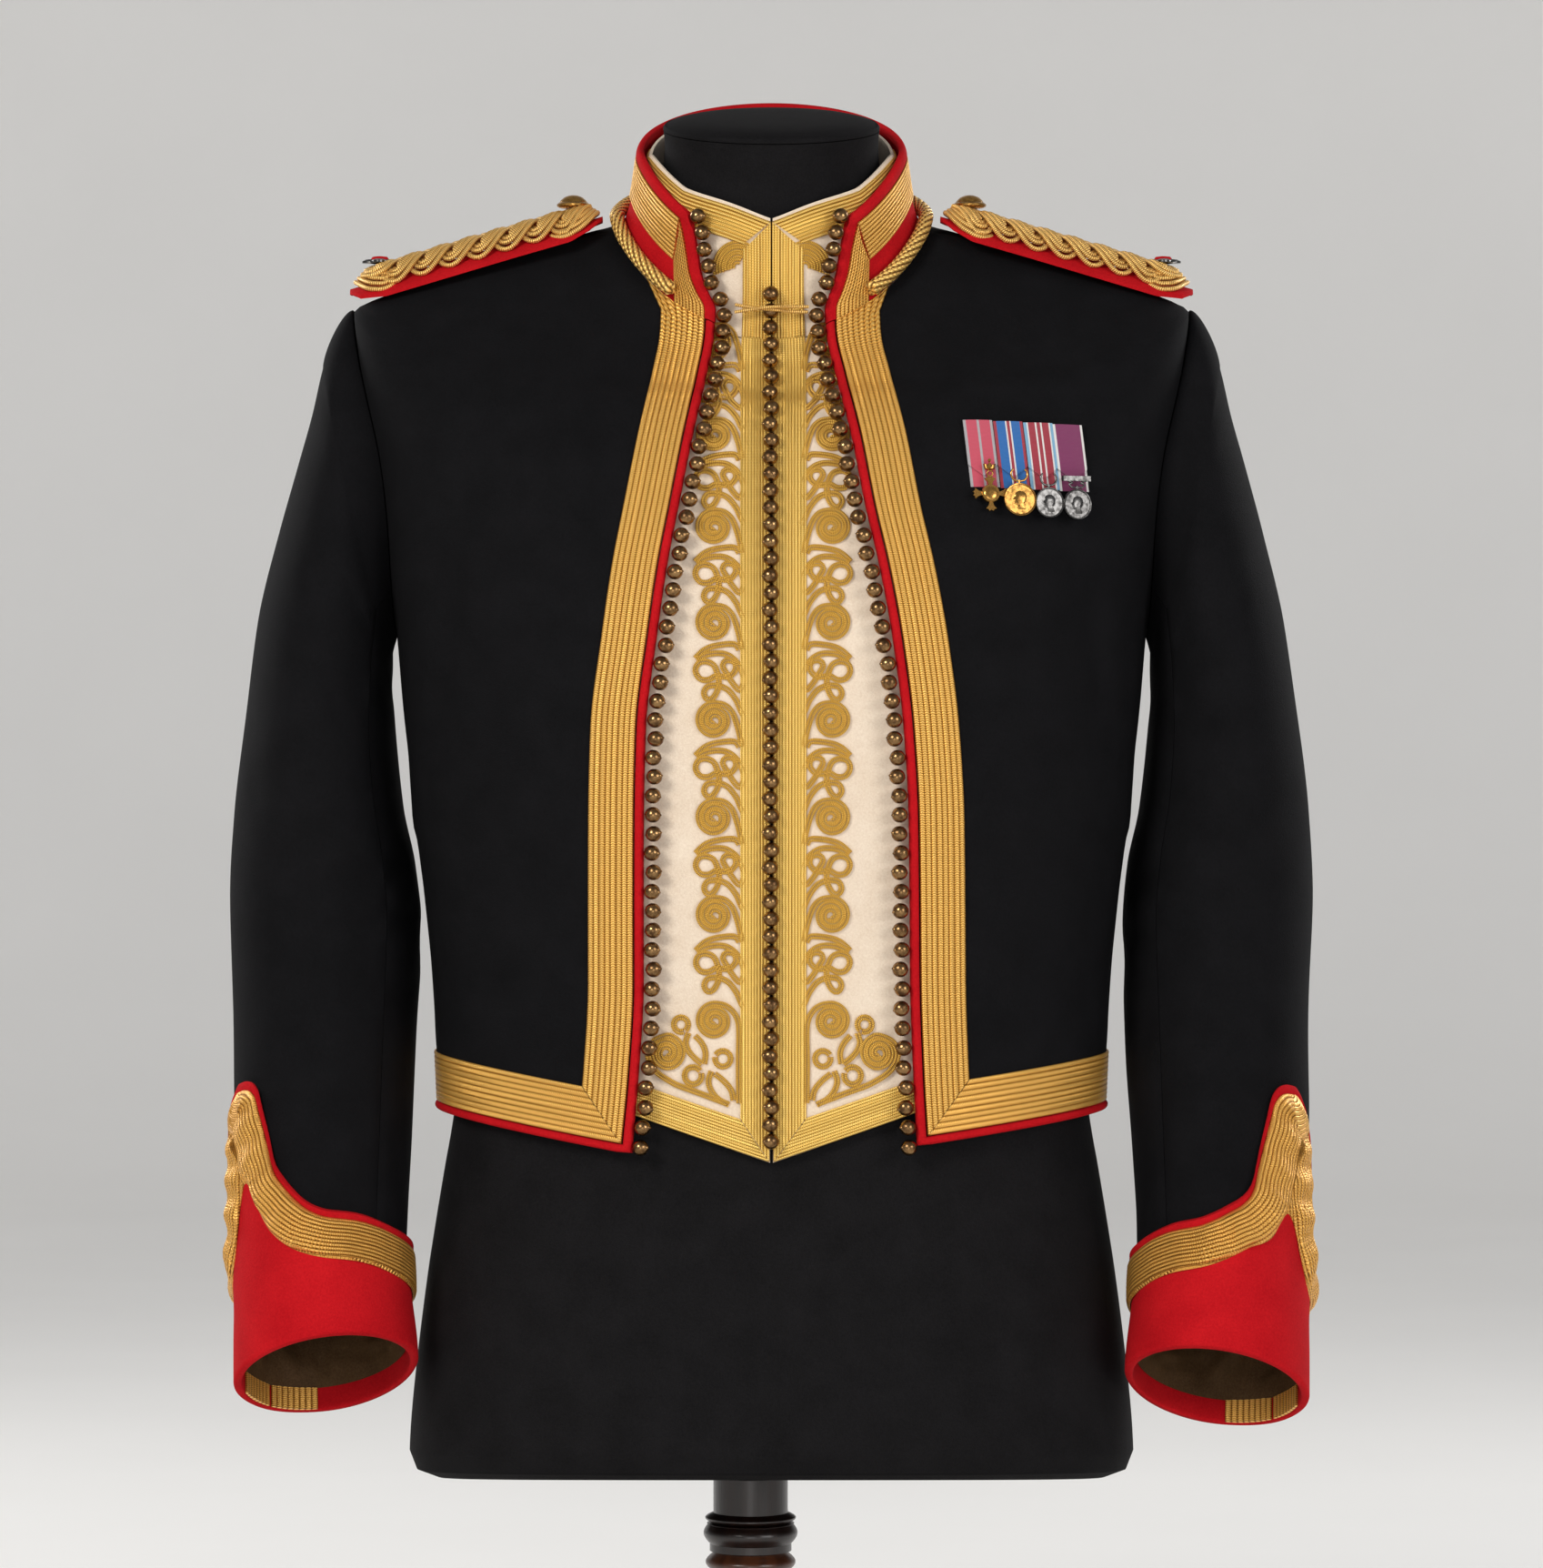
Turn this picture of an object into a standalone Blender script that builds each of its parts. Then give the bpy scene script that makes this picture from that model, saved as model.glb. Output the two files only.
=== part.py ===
import bpy
import math
import numpy as np

# Mess dress jacket and waistcoat on a limbless dress form with a turned stand.
# The front faces -Y and up is +Z; the origin is under the middle of the form.
# "left" and "right" are the wearer's: left is +X and right is -X.

NAME = "mess_dress_jacket"
HEM = 0.4477                 # side height of the jacket's hem seam
NECK = 0.926                 # side height of the neck seam
COLLAR_TOP = 0.968           # side height of the jacket collar's top edge
ARMPIT = 0.700
SHOULDER = 0.880
HALF_PI = math.pi / 2
CLOTH = 0.002                # wall of the jacket cloth
EDGING = 0.005               # width of the scarlet edging
FRONT_LACE = 0.0243          # width of the gold lace down each front
HEM_LACE = 0.0270            # height of the gold lace round the hem
BALL = 0.0043                # radius of a ball button
WAISTCOAT = -0.0060          # outer face of the waistcoat, measured from the jacket's
DROP_LEFT = 0.007            # how much lower the left cuff hangs
POST = -0.0115               # the post stands a little to the right of the form's middle

# side height, half width, front depth, back depth, centre y, front drop, back lift, squareness
BODY = (
    (0.380, 0.1800, 0.1150, 0.1030, 0.000, 0.000, 0.000, 2.40),
    (0.444, 0.1825, 0.1165, 0.1030, 0.000, 0.000, 0.000, 2.40),
    (0.511, 0.1860, 0.1190, 0.1040, 0.000, 0.000, 0.000, 2.40),
    (0.562, 0.1910, 0.1220, 0.1070, 0.001, 0.000, 0.000, 2.40),
    (0.600, 0.1955, 0.1240, 0.1100, 0.002, 0.000, 0.000, 2.45),
    (0.659, 0.2015, 0.1260, 0.1150, 0.003, 0.000, 0.000, 2.55),
    (0.708, 0.2065, 0.1260, 0.1190, 0.004, 0.002, 0.000, 2.70),
    (0.757, 0.2120, 0.1235, 0.1225, 0.004, 0.010, -0.002, 2.85),
    (0.800, 0.2180, 0.1170, 0.1235, 0.004, 0.022, -0.008, 2.95),
    (0.835, 0.2240, 0.1085, 0.1215, 0.004, 0.034, -0.020, 2.95),
    (0.860, 0.2275, 0.0995, 0.1190, 0.004, 0.044, -0.034, 2.85),
    (0.880, 0.2290, 0.0900, 0.1160, 0.004, 0.053, -0.040, 2.70),
    (0.890, 0.2000, 0.0830, 0.1100, 0.005, 0.057, -0.028, 2.50),
    (0.902, 0.1600, 0.0765, 0.1010, 0.006, 0.060, -0.010, 2.30),
    (0.914, 0.1240, 0.0715, 0.0890, 0.008, 0.062, 0.010, 2.15),
    (0.926, 0.0835, 0.0680, 0.0750, 0.008, 0.063, 0.028, 2.00),
    (0.968, 0.0722, 0.0560, 0.0640, -0.006, 0.0560, 0.0335, 2.00),
    (0.990, 0.0670, 0.0490, 0.0570, -0.013, 0.0520, 0.0355, 2.00),
)

# height, right front lace edge, left front lace edge (distance from the middle)
EDGE = (
    (0.4290, 0.0790, 0.0825),
    (0.4650, 0.0755, 0.0803),
    (0.5154, 0.0727, 0.0785),
    (0.5540, 0.0727, 0.0782),
    (0.6020, 0.0725, 0.0776),
    (0.6500, 0.0713, 0.0748),
    (0.6980, 0.0655, 0.0688),
    (0.7364, 0.0599, 0.0617),
    (0.7672, 0.0540, 0.0546),
    (0.8058, 0.0467, 0.0473),
    (0.8400, 0.0398, 0.0395),
    (0.8650, 0.0358, 0.0345),
    (0.8765, 0.0355, 0.0342),
    (0.8857, 0.0397, 0.0374),
    (0.8959, 0.0435, 0.0405),
    (0.9085, 0.0455, 0.0426),
    (0.9184, 0.0472, 0.0448),
    (0.9311, 0.0506, 0.0480),
)

# distance from the rim, inner x and z, outer x and z, centre y, half depth, pitch in degrees
SLEEVE = (
    (0.000, 0.1925, 0.3105, 0.2865, 0.2955, -0.066, 0.0490, 29.5),
    (0.076, 0.1980, 0.3720, 0.2895, 0.3600, -0.040, 0.0540, 21.0),
    (0.141, 0.1965, 0.4300, 0.2930, 0.4250, -0.018, 0.0590, 16.0),
    (0.202, 0.1950, 0.4825, 0.2955, 0.4880, 0.000, 0.0650, 10.0),
    (0.265, 0.1930, 0.5400, 0.2980, 0.5545, 0.012, 0.0700, 5.0),
    (0.309, 0.1965, 0.5750, 0.2955, 0.6060, 0.015, 0.0730, 0.0),
    (0.351, 0.2035, 0.6070, 0.2900, 0.6590, 0.015, 0.0750, 0.0),
    (0.392, 0.2070, 0.6380, 0.2830, 0.7095, 0.014, 0.0760, 0.0),
    (0.428, 0.2085, 0.6600, 0.2705, 0.7590, 0.012, 0.0750, 0.0),
    (0.454, 0.2090, 0.6750, 0.2605, 0.7940, 0.010, 0.0720, 0.0),
    (0.474, 0.2090, 0.6840, 0.2525, 0.8230, 0.008, 0.0680, 0.0),
    (0.491, 0.2090, 0.6910, 0.2465, 0.8495, 0.006, 0.0625, 0.0),
    (0.505, 0.2085, 0.6960, 0.2390, 0.8725, 0.005, 0.0560, 0.0),
)
ARM_RINGS = (0.491, 0.474, 0.454, 0.428, 0.392, 0.351, 0.309, 0.265, 0.202, 0.141, 0.095, 0.050)

# degrees from the middle of the cuff's tongue (less than 0 is toward the front), top edge, lace's lower edge
CUFF = (
    (-180.0, 0.0740, 0.0420),
    (-122.0, 0.0750, 0.0430),
    (-82.0, 0.0810, 0.0490),
    (-64.0, 0.0835, 0.0515),
    (-53.0, 0.0880, 0.0550),
    (-42.0, 0.0960, 0.0610),
    (-34.0, 0.1035, 0.0670),
    (-28.0, 0.1120, 0.0720),
    (-24.0, 0.1275, 0.0755),
    (-19.0, 0.1440, 0.0810),
    (-14.0, 0.1590, 0.0880),
    (-8.0, 0.1640, 0.0980),
    (-3.0, 0.1650, 0.1020),
    (3.0, 0.1650, 0.0960),
    (8.0, 0.1630, 0.0860),
    (14.0, 0.1580, 0.0740),
    (19.0, 0.1460, 0.0670),
    (23.0, 0.1300, 0.0620),
    (26.0, 0.1170, 0.0600),
    (29.0, 0.1070, 0.0585),
    (33.0, 0.0980, 0.0575),
    (40.0, 0.0900, 0.0565),
    (55.0, 0.0850, 0.0555),
    (90.0, 0.0810, 0.0525),
    (122.0, 0.0780, 0.0480),
    (180.0, 0.0740, 0.0420),
)
TONGUE = {1: 134.0, -1: 145.0}    # ring angle of the tongue: 90 is the front, 180 the outside

MATERIALS = {
    "black_wool": ((0.008, 0.009, 0.013, 1), 0.95, 0.0),
    "scarlet_wool": ((0.55, 0.006, 0.014, 1), 0.85, 0.0),
    "gold_lace": ((0.62, 0.36, 0.08, 1), 0.45, 0.6),
    "gold_cord": ((0.72, 0.43, 0.09, 1), 0.4, 0.6),
    "cream_wool": ((0.82, 0.74, 0.64, 1), 0.9, 0.0),
    "tan_lining": ((0.22, 0.15, 0.07, 1), 0.6, 0.0),
    "dark_brass": ((0.16, 0.10, 0.05, 1), 0.3, 1.0),
    "gilt_metal": ((0.80, 0.55, 0.15, 1), 0.25, 1.0),
    "silver_metal": ((0.65, 0.65, 0.66, 1), 0.28, 1.0),
    "ribbon_silk": ((0.42, 0.05, 0.10, 1), 0.6, 0.0),
    "black_cotton": ((0.012, 0.012, 0.014, 1), 0.9, 0.0),
    "dark_wood": ((0.035, 0.017, 0.010, 1), 0.4, 0.0),
    "turned_wood": ((0.16, 0.065, 0.025, 1), 0.4, 0.0),
}

for thing in list(bpy.data.objects):
    bpy.data.objects.remove(thing, do_unlink=True)
HOME = bpy.data.collections.new(NAME)
bpy.context.scene.collection.children.link(HOME)


def finish(name, mesh, slot, smooth=True):
    """Put a mesh in the collection with a material of its own."""
    color, roughness, metallic = MATERIALS[slot]
    made = bpy.data.materials.new(name + "_" + slot)
    made.use_nodes = True
    shader = made.node_tree.nodes["Principled BSDF"]
    shader.inputs["Base Color"].default_value = color
    shader.inputs["Roughness"].default_value = roughness
    shader.inputs["Metallic"].default_value = metallic
    made.diffuse_color = color
    mesh.materials.append(made)
    for face in mesh.polygons:
        face.use_smooth = smooth
    thing = bpy.data.objects.new(name, mesh)
    HOME.objects.link(thing)
    return thing


def body_from(name, points, faces, slot, smooth=True):
    """A closed body from points and faces, turned so that its faces look out."""
    pts = np.asarray(points, float)
    volume = 0.0
    for face in faces:
        for k in range(1, len(face) - 1):
            a, b, c = pts[face[0]], pts[face[k]], pts[face[k + 1]]
            volume += float(np.dot(a, np.cross(b, c)))
    if volume < 0:
        faces = [tuple(reversed(face)) for face in faces]
    mesh = bpy.data.meshes.new(name)
    mesh.from_pydata([tuple(p) for p in pts], [], faces)
    mesh.update()
    return finish(name, mesh, slot, smooth)


def shell(name, outer, inner, slot, wrap=False, smooth=True):
    """A cloth wall between two matching grids of points (rows, columns, 3)."""
    rows, cols = outer.shape[:2]
    pts = np.concatenate([outer.reshape(-1, 3), inner.reshape(-1, 3)])
    far = rows * cols
    faces = []
    last = cols if wrap else cols - 1
    for i in range(rows - 1):
        for j in range(last):
            k = (j + 1) % cols
            a, b, c, d = i * cols + j, i * cols + k, (i + 1) * cols + k, (i + 1) * cols + j
            faces.append((a, b, c, d))
            faces.append((far + a, far + d, far + c, far + b))
    for j in range(last):
        k = (j + 1) % cols
        faces.append((k, j, far + j, far + k))
        top = (rows - 1) * cols
        faces.append((top + j, top + k, far + top + k, far + top + j))
    if not wrap:
        for i in range(rows - 1):
            a, b = i * cols, (i + 1) * cols
            faces.append((a, b, far + b, far + a))
            a, b = i * cols + cols - 1, (i + 1) * cols + cols - 1
            faces.append((b, a, far + a, far + b))
    return body_from(name, pts, faces, slot, smooth)


def tube(name, rings, slot, smooth=True):
    """A closed body from a line of matching rings, with flat ends."""
    rings = np.asarray(rings, float)
    count, around = rings.shape[:2]
    faces = []
    for i in range(count - 1):
        for j in range(around):
            k = (j + 1) % around
            faces.append((i * around + j, i * around + k, (i + 1) * around + k, (i + 1) * around + j))
    faces.append(tuple(reversed(range(around))))
    faces.append(tuple((count - 1) * around + j for j in range(around)))
    return body_from(name, rings.reshape(-1, 3), faces, slot, smooth)


def turned(name, profile, slot, around=16):
    """A turned body on the post's axis from (radius, height) pairs."""
    angles = np.linspace(0, 2 * math.pi, around, endpoint=False)
    rings = [[(POST + r * math.cos(t), r * math.sin(t), z) for t in angles] for r, z in profile]
    return tube(name, rings, slot)


def smooth_line(xs, ys, x):
    """Monotone smooth interpolation through a table, straight beyond its ends."""
    xs = np.asarray(xs, float)
    ys = np.asarray(ys, float)
    x = np.asarray(x, float)
    h = np.diff(xs)
    d = np.diff(ys) / h
    m = np.empty_like(ys)
    m[0] = d[0]
    m[-1] = d[-1]
    for k in range(1, len(xs) - 1):
        if d[k - 1] * d[k] > 0:
            w1 = 2 * h[k] + h[k - 1]
            w2 = h[k] + 2 * h[k - 1]
            m[k] = (w1 + w2) / (w1 / d[k - 1] + w2 / d[k])
        else:
            m[k] = 0.0
    i = np.clip(np.searchsorted(xs, x) - 1, 0, len(xs) - 2)
    t = (x - xs[i]) / h[i]
    low = ys[0] + m[0] * (x - xs[0])
    high = ys[-1] + m[-1] * (x - xs[-1])
    mid = (ys[i] * (1 + 2 * t) * (1 - t) ** 2 + m[i] * h[i] * t * (1 - t) ** 2
           + ys[i + 1] * t * t * (3 - 2 * t) + m[i + 1] * h[i] * t * t * (t - 1))
    return np.where(x < xs[0], low, np.where(x > xs[-1], high, mid))


def column(table, k, x):
    """One named column of a table read at x."""
    return smooth_line([row[0] for row in table], [row[k] for row in table], x)


def skin(a, v):
    """The jacket's outer face: a is the turn from the front, v the height at the side."""
    a, v = np.broadcast_arrays(np.asarray(a, float), np.asarray(v, float))
    half, front, back, mid, drop, lift, power = [column(BODY, k, v) for k in range(1, 8)]
    s, c = np.sin(a), np.cos(a)
    q = 2.0 / power
    x = half * np.sign(s) * np.abs(s) ** q
    y = mid - np.where(c > 0, front, back) * np.sign(c) * np.abs(c) ** q
    rise = np.clip((v - NECK) / (COLLAR_TOP - NECK), 0, 1)
    steep = 1.5 - 0.4 * np.clip((v - 0.906) / 0.018, 0, 1) - 0.15 * rise
    z = v - drop * np.maximum(c, 0) ** (1.3 + 0.2 * rise) + lift * np.maximum(-c, 0) ** steep
    return np.stack([x, y, z], -1)


def off(a, v, d):
    """A point held d outside the jacket's outer face."""
    a, v, d = np.broadcast_arrays(np.asarray(a, float), np.asarray(v, float), np.asarray(d, float))
    e = 2e-4
    across = skin(a + 20 * e, v) - skin(a - 20 * e, v)
    up = skin(a, v + e) - skin(a, v - e)
    n = np.cross(across, up)
    n /= np.linalg.norm(n, axis=-1, keepdims=True)
    return skin(a, v) + n * d[..., None]


def turn_at(x, v):
    """The turn on the front at which the face is x from the middle."""
    ratio = np.clip(np.abs(x) / column(BODY, 1, v), 0, 1)
    return np.sign(x) * np.arcsin(ratio ** (column(BODY, 7, v) / 2))


def spot(x, z):
    """Turn and side height of the place on the front seen at x, z."""
    x, z = np.broadcast_arrays(np.asarray(x, float), np.asarray(z, float))
    low = np.full(x.shape, 0.36)
    high = np.full(x.shape, 1.02)
    for _ in range(36):
        v = (low + high) / 2
        under = skin(turn_at(x, v), v)[..., 2] < z
        low = np.where(under, v, low)
        high = np.where(under, high, v)
    return turn_at(x, v), v


def front(x, z, d):
    """A point on the front seen at x, z and held d off the jacket's face."""
    a, v = spot(x, z)
    return off(a, v, d)


def edge_x(z, side):
    """Where the front lace begins; side is +1 for the left and -1 for the right."""
    return column(EDGE, 2 if side > 0 else 1, z)


def edge_turn(v, side, more=0.0):
    """The turn of the front edge, or of a line further from it, on the loop v."""
    a = np.full(np.shape(v), 0.4)
    for _ in range(12):
        z = skin(a, v)[..., 2]
        a = turn_at(edge_x(z, side) + more, v)
    return a


def hem_height(a, side):
    """The height of the hem seam, which falls toward the front corner."""
    corner = 0.4333 if side > 0 else 0.4296
    x = np.abs(skin(a, np.full(np.shape(a), HEM))[..., 0])
    t = np.clip((x - 0.080) / (0.1825 - 0.080), 0, 1)
    return np.where(np.cos(a) > 0, corner + (HEM - corner) * t, HEM)


def armhole(t, front_side):
    """Turn of the armhole's edge; t runs 0 at the armpit to 1 at the shoulder."""
    t = np.asarray(t, float)
    v = ARMPIT + (SHOULDER - ARMPIT) * t
    deep = np.sin(math.pi * np.clip(t, 0, 1)) ** 0.6
    reach = np.where(front_side, 0.050, 0.056) * deep
    depth = np.where(front_side, column(BODY, 2, v), column(BODY, 3, v))
    a = np.arccos(np.clip(reach / depth, 0, 1) ** (column(BODY, 7, v) / 2))
    return np.where(front_side, a, math.pi - a), v


ARM_T = [(1 - math.cos(math.pi * k / 8)) / 2 for k in range(9)]
LOW_ROWS = [HEM, HEM + HEM_LACE, 0.515, 0.560, 0.606, 0.652]
ARM_ROWS = [ARMPIT + (SHOULDER - ARMPIT) * t for t in ARM_T]
TOP_ROWS = [0.890, 0.902, 0.914, NECK - 0.0004]
ROWS = LOW_ROWS + ARM_ROWS + TOP_ROWS


def fade(row):
    """How far a row keeps to the fall of the hem."""
    return float(np.clip(1 - (row - HEM - HEM_LACE) / 0.09, 0, 1))


def outside_turn(row, front_side):
    """The panel's outer boundary: side seam, armhole or shoulder seam."""
    if ARMPIT < row < SHOULDER:
        a, _ = armhole((row - ARMPIT) / (SHOULDER - ARMPIT), front_side)
        return float(a)
    return HALF_PI


SEAM = 0.0012                # half the turn left open at a seam
LACE_AT = (0.0004, FRONT_LACE / 3, FRONT_LACE * 2 / 3, FRONT_LACE)


def front_grid(side):
    """Turns and heights of a front panel's points."""
    turns, heights = [], []
    for row in ROWS:
        end = outside_turn(row, True) - SEAM
        v = np.full(11, row)
        for _ in range(3):
            lace = [float(edge_turn(v[k], side, more)) for k, more in enumerate(LACE_AT)]
            a = np.concatenate([lace, lace[3] + (end - lace[3]) * np.linspace(0, 1, 8)[1:]])
            v = row + (hem_height(a, side) - HEM) * fade(row)
        turns.append(a)
        heights.append(v)
    return np.array(turns), np.array(heights)


def back_grid():
    """Turns and heights of a back panel's points."""
    turns, heights = [], []
    for row in ROWS:
        start = outside_turn(row, False) + SEAM
        turns.append(start + (math.pi - 0.0008 - start) * np.linspace(0, 1, 7))
        heights.append(np.full(7, row))
    return np.array(turns), np.array(heights)


SIDES = (("left", 1), ("right", -1))

# --- the jacket's body -------------------------------------------------------
for word, side in SIDES:
    a, v = front_grid(side)
    shell("jacket_front_" + word, off(a * side, v, 0), off(a * side, v, -CLOTH), "black_wool")
    la, lv = a[:, :4], v[:, :4]
    strip = slice(1, len(ROWS))
    shell("front_lace_" + word, off(la[strip] * side, lv[strip], 0.0014),
          off(la[strip] * side, lv[strip], 0.0003), "gold_lace")
    ha = a[:2].copy()
    hv = v[:2].copy()
    hv[1] -= 0.0004
    shell("hem_lace_" + word, off(ha * side, hv, 0.0014), off(ha * side, hv, 0.0003), "gold_lace")
    line_in, line_out = [], []
    for i in range(len(ROWS) - 1, -1, -1):
        line_in.append((float(edge_turn(v[i, 0], side, 0.0)), v[i, 0]))
        line_out.append((float(edge_turn(v[i, 0], side, -EDGING)), v[i, 0]))
    first = (line_in[-1][0], v[0, 0] - 0.0004)
    line_in[-1] = first
    line_out[-1] = (float(edge_turn(v[0, 0], side, -EDGING)), v[0, 0] - EDGING)
    for j in range(1, a.shape[1]):
        line_in.append((a[0, j], v[0, j] - 0.0004))
        line_out.append((a[0, j], v[0, j] - EDGING))
    both = np.array([line_in, line_out])
    t, h = both[..., 0].T * side, both[..., 1].T
    shell("jacket_edging_" + word, off(t, h, 0.0010), off(t, h, -0.0026), "scarlet_wool")
    a, v = back_grid()
    shell("jacket_back_" + word, off(a * side, v, 0), off(a * side, v, -CLOTH), "black_wool")

a, v = back_grid()
a = np.concatenate([a[:2], 2 * math.pi - a[:2, ::-1]], axis=1)
v = np.concatenate([v[:2], v[:2, ::-1]], axis=1)
shell("hem_lace_back", off(a, v, 0.0014), off(a, v, 0.0003), "gold_lace")
h = np.stack([v[0] - 0.0004, v[0] - EDGING])
t = np.stack([a[0], a[0]])
shell("jacket_edging_back", off(t, h, 0.0010), off(t, h, -0.0026), "scarlet_wool")


# --- sleeves and cuffs -------------------------------------------------------
def arm(ang, d, out, side):
    """A sleeve point: ang is 0 inside, a quarter at the front, half outside."""
    ang, d, out = np.broadcast_arrays(np.asarray(ang, float), np.asarray(d, float), np.asarray(out, float))
    xi, zi, xo, zo, yc, deep, pitch = [column(SLEEVE, k, d) for k in range(1, 8)]
    drop = DROP_LEFT * np.clip(1 - d / 0.30, 0, 1) if side > 0 else 0.0
    wide = np.hypot(xo - xi, zo - zi) / 2
    ux, uz = (xo - xi) / (2 * wide), (zo - zi) / (2 * wide)
    pitch = np.radians(pitch)
    p = -np.cos(ang) * (wide + out)
    q = np.sin(ang) * (deep + out)
    x = (xi + xo) / 2 + p * ux
    y = yc - q * np.cos(pitch)
    z = (zi + zo) / 2 + p * uz + q * np.sin(pitch) - drop
    return np.stack([x * side, y, z], -1)


def arm_start(ang, side, inward):
    """The sleeve's first ring, on the edge of the armhole."""
    t = (1 - np.cos(ang)) / 2
    a, v = armhole(t, np.sin(ang) > 0)
    p = off(a * side, v, 0.0006)
    centre = np.array([0.214 * side, 0.006, 0.790])
    away = centre - p
    away[..., 0] = 0.0
    away /= np.linalg.norm(away, axis=-1, keepdims=True)
    return p + away * inward


SPLIT = 0.0035
STEP = math.pi / 8
for word, side in SIDES:
    for piece, start in (("top_sleeve_", 2), ("under_sleeve_", 10)):
        ang = np.array([(start + k) * STEP for k in range(9)])
        ang[0] += SPLIT
        ang[-1] -= SPLIT
        outer = [arm_start(ang, side, 0.0)]
        inner = [arm_start(ang, side, CLOTH)]
        for d in ARM_RINGS:
            outer.append(arm(ang, d, 0.0, side))
            inner.append(arm(ang, d, -CLOTH, side))
        shell(piece + word, np.array(outer), np.array(inner), "black_wool")
    ang = np.array([k * STEP for k in range(16)])
    outer = [arm(ang, d, -0.0026, side) for d in (0.024, 0.070, 0.125)]
    inner = [arm(ang, d, -0.0038, side) for d in (0.024, 0.070, 0.125)]
    shell("sleeve_lining_" + word, np.array(outer), np.array(inner), "tan_lining", wrap=True)
    share = np.linspace(-1, 1, 40, endpoint=False)
    away = 180 * np.sign(share) * np.abs(share) ** 1.5
    ang = np.radians(TONGUE[side] + away)
    top = column(CUFF, 1, away) - 0.004 * side * np.exp(-((away + 30) / 14) ** 2)
    low = column(CUFF, 2, away) - 0.009 * side * np.exp(-((away + 10) / 14) ** 2)
    outer = [arm(ang, d, 0.0024, side) for d in (0.0 * top, 0.0220 + 0.0 * top, low, top)]
    inner = [arm(ang, 0.0 * top, -0.0020, side), arm(ang, 0.0215 + 0.0 * top, -0.0020, side)]
    inner += [arm(ang, d, 0.0010, side) for d in (0.0220 + 0.0 * top, top)]
    shell("cuff_" + word, np.array(outer), np.array(inner), "scarlet_wool", wrap=True)
    shell("cuff_lace_" + word, np.array([arm(ang, low, 0.0038, side), arm(ang, top - EDGING, 0.0038, side)]),
          np.array([arm(ang, low, 0.0027, side), arm(ang, top - EDGING, 0.0027, side)]),
          "gold_lace", wrap=True)

# --- the jacket's collar -----------------------------------------------------
def collar_turns(v):
    """Turns of rows round the back from the left front edge to the right one, as at the neck seam."""
    halves = []
    for side in (1, -1):
        lace = np.array([float(edge_turn(v[0], side, more)) for more in LACE_AT])
        rest = lace[3] + (HALF_PI - lace[3]) * np.linspace(0, 1, 8)[1:]
        foot = np.concatenate([lace, rest, HALF_PI * np.linspace(1, 2, 7)[1:]])
        share = (foot - foot[0]) / (math.pi - foot[0])
        edge = edge_turn(v, side, LACE_AT[0])[:, None]
        halves.append(edge + (math.pi - edge) * share)
    return np.concatenate([halves[0], 2 * math.pi - halves[1][:, -2::-1]], axis=1)


COLLAR_ROWS = np.array([NECK + 0.0004, 0.9435, COLLAR_TOP - 0.0040, COLLAR_TOP])
a = collar_turns(COLLAR_ROWS)
v = np.repeat(COLLAR_ROWS[:, None], a.shape[1], 1)
shell("jacket_collar", off(a, v, 0), off(a, v, -CLOTH), "scarlet_wool")
shell("collar_lace", off(a[1:3], v[1:3], 0.0014), off(a[1:3], v[1:3], 0.0003), "gold_lace")

cols = 25
a = np.linspace(math.radians(40), math.radians(320), cols)
rings = []
for k in range(cols):
    c = off(a[k], NECK + 0.0050, 0.0056)
    n = off(a[k], NECK + 0.0050, 0.0066) - c
    n /= np.linalg.norm(n)
    ahead = off(a[k] + 0.02, NECK + 0.0050, 0.0056) - c
    ahead /= np.linalg.norm(ahead)
    up = np.cross(n, ahead)
    rings.append([c + 0.0031 * (math.cos(w) * n + math.sin(w) * up) for w in np.arange(6) * math.pi / 3])
tube("collar_cord", rings, "gold_cord")


# --- the waistcoat -----------------------------------------------------------
W_TOP = 0.902
W_SEAM = 0.014               # half the turn left open at the waistcoat's seams
W_FADE = (1.0, 1.0, 0.6, 0.2, 0.0)
W_ARM = 0.655
W_LIFT = 0.462               # side height of the waistcoat's lower edge
W_ROWS = [W_LIFT, 0.480, 0.525, 0.565, 0.610]
W_ROWS += [W_ARM + (W_TOP - W_ARM) * t for t in (0, 0.06, 0.2, 0.4, 0.6, 0.75, 0.86, 0.94, 1)]
W_ROWS += [0.914, NECK - 0.0020]
ARM_X = ((0.0, 0.2012), (0.06, 0.186), (0.2, 0.172), (0.4, 0.162), (0.7, 0.157), (1.0, 0.160))


def waist_out(row):
    """Turn of the waistcoat's outer boundary on the front."""
    if W_ARM < row < W_TOP - 1e-6:
        t = (row - W_ARM) / (W_TOP - W_ARM)
        return float(turn_at(column(ARM_X, 1, t), row))
    return HALF_PI


def waist_hem(x):
    """The waistcoat's lower edge, pointed at the middle."""
    x = np.abs(x)
    return np.where(x < 0.08, 0.4190 + 0.0270 * x / 0.08, 0.446 + 0.016 * np.clip((x - 0.08) / 0.09, 0, 1))


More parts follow.
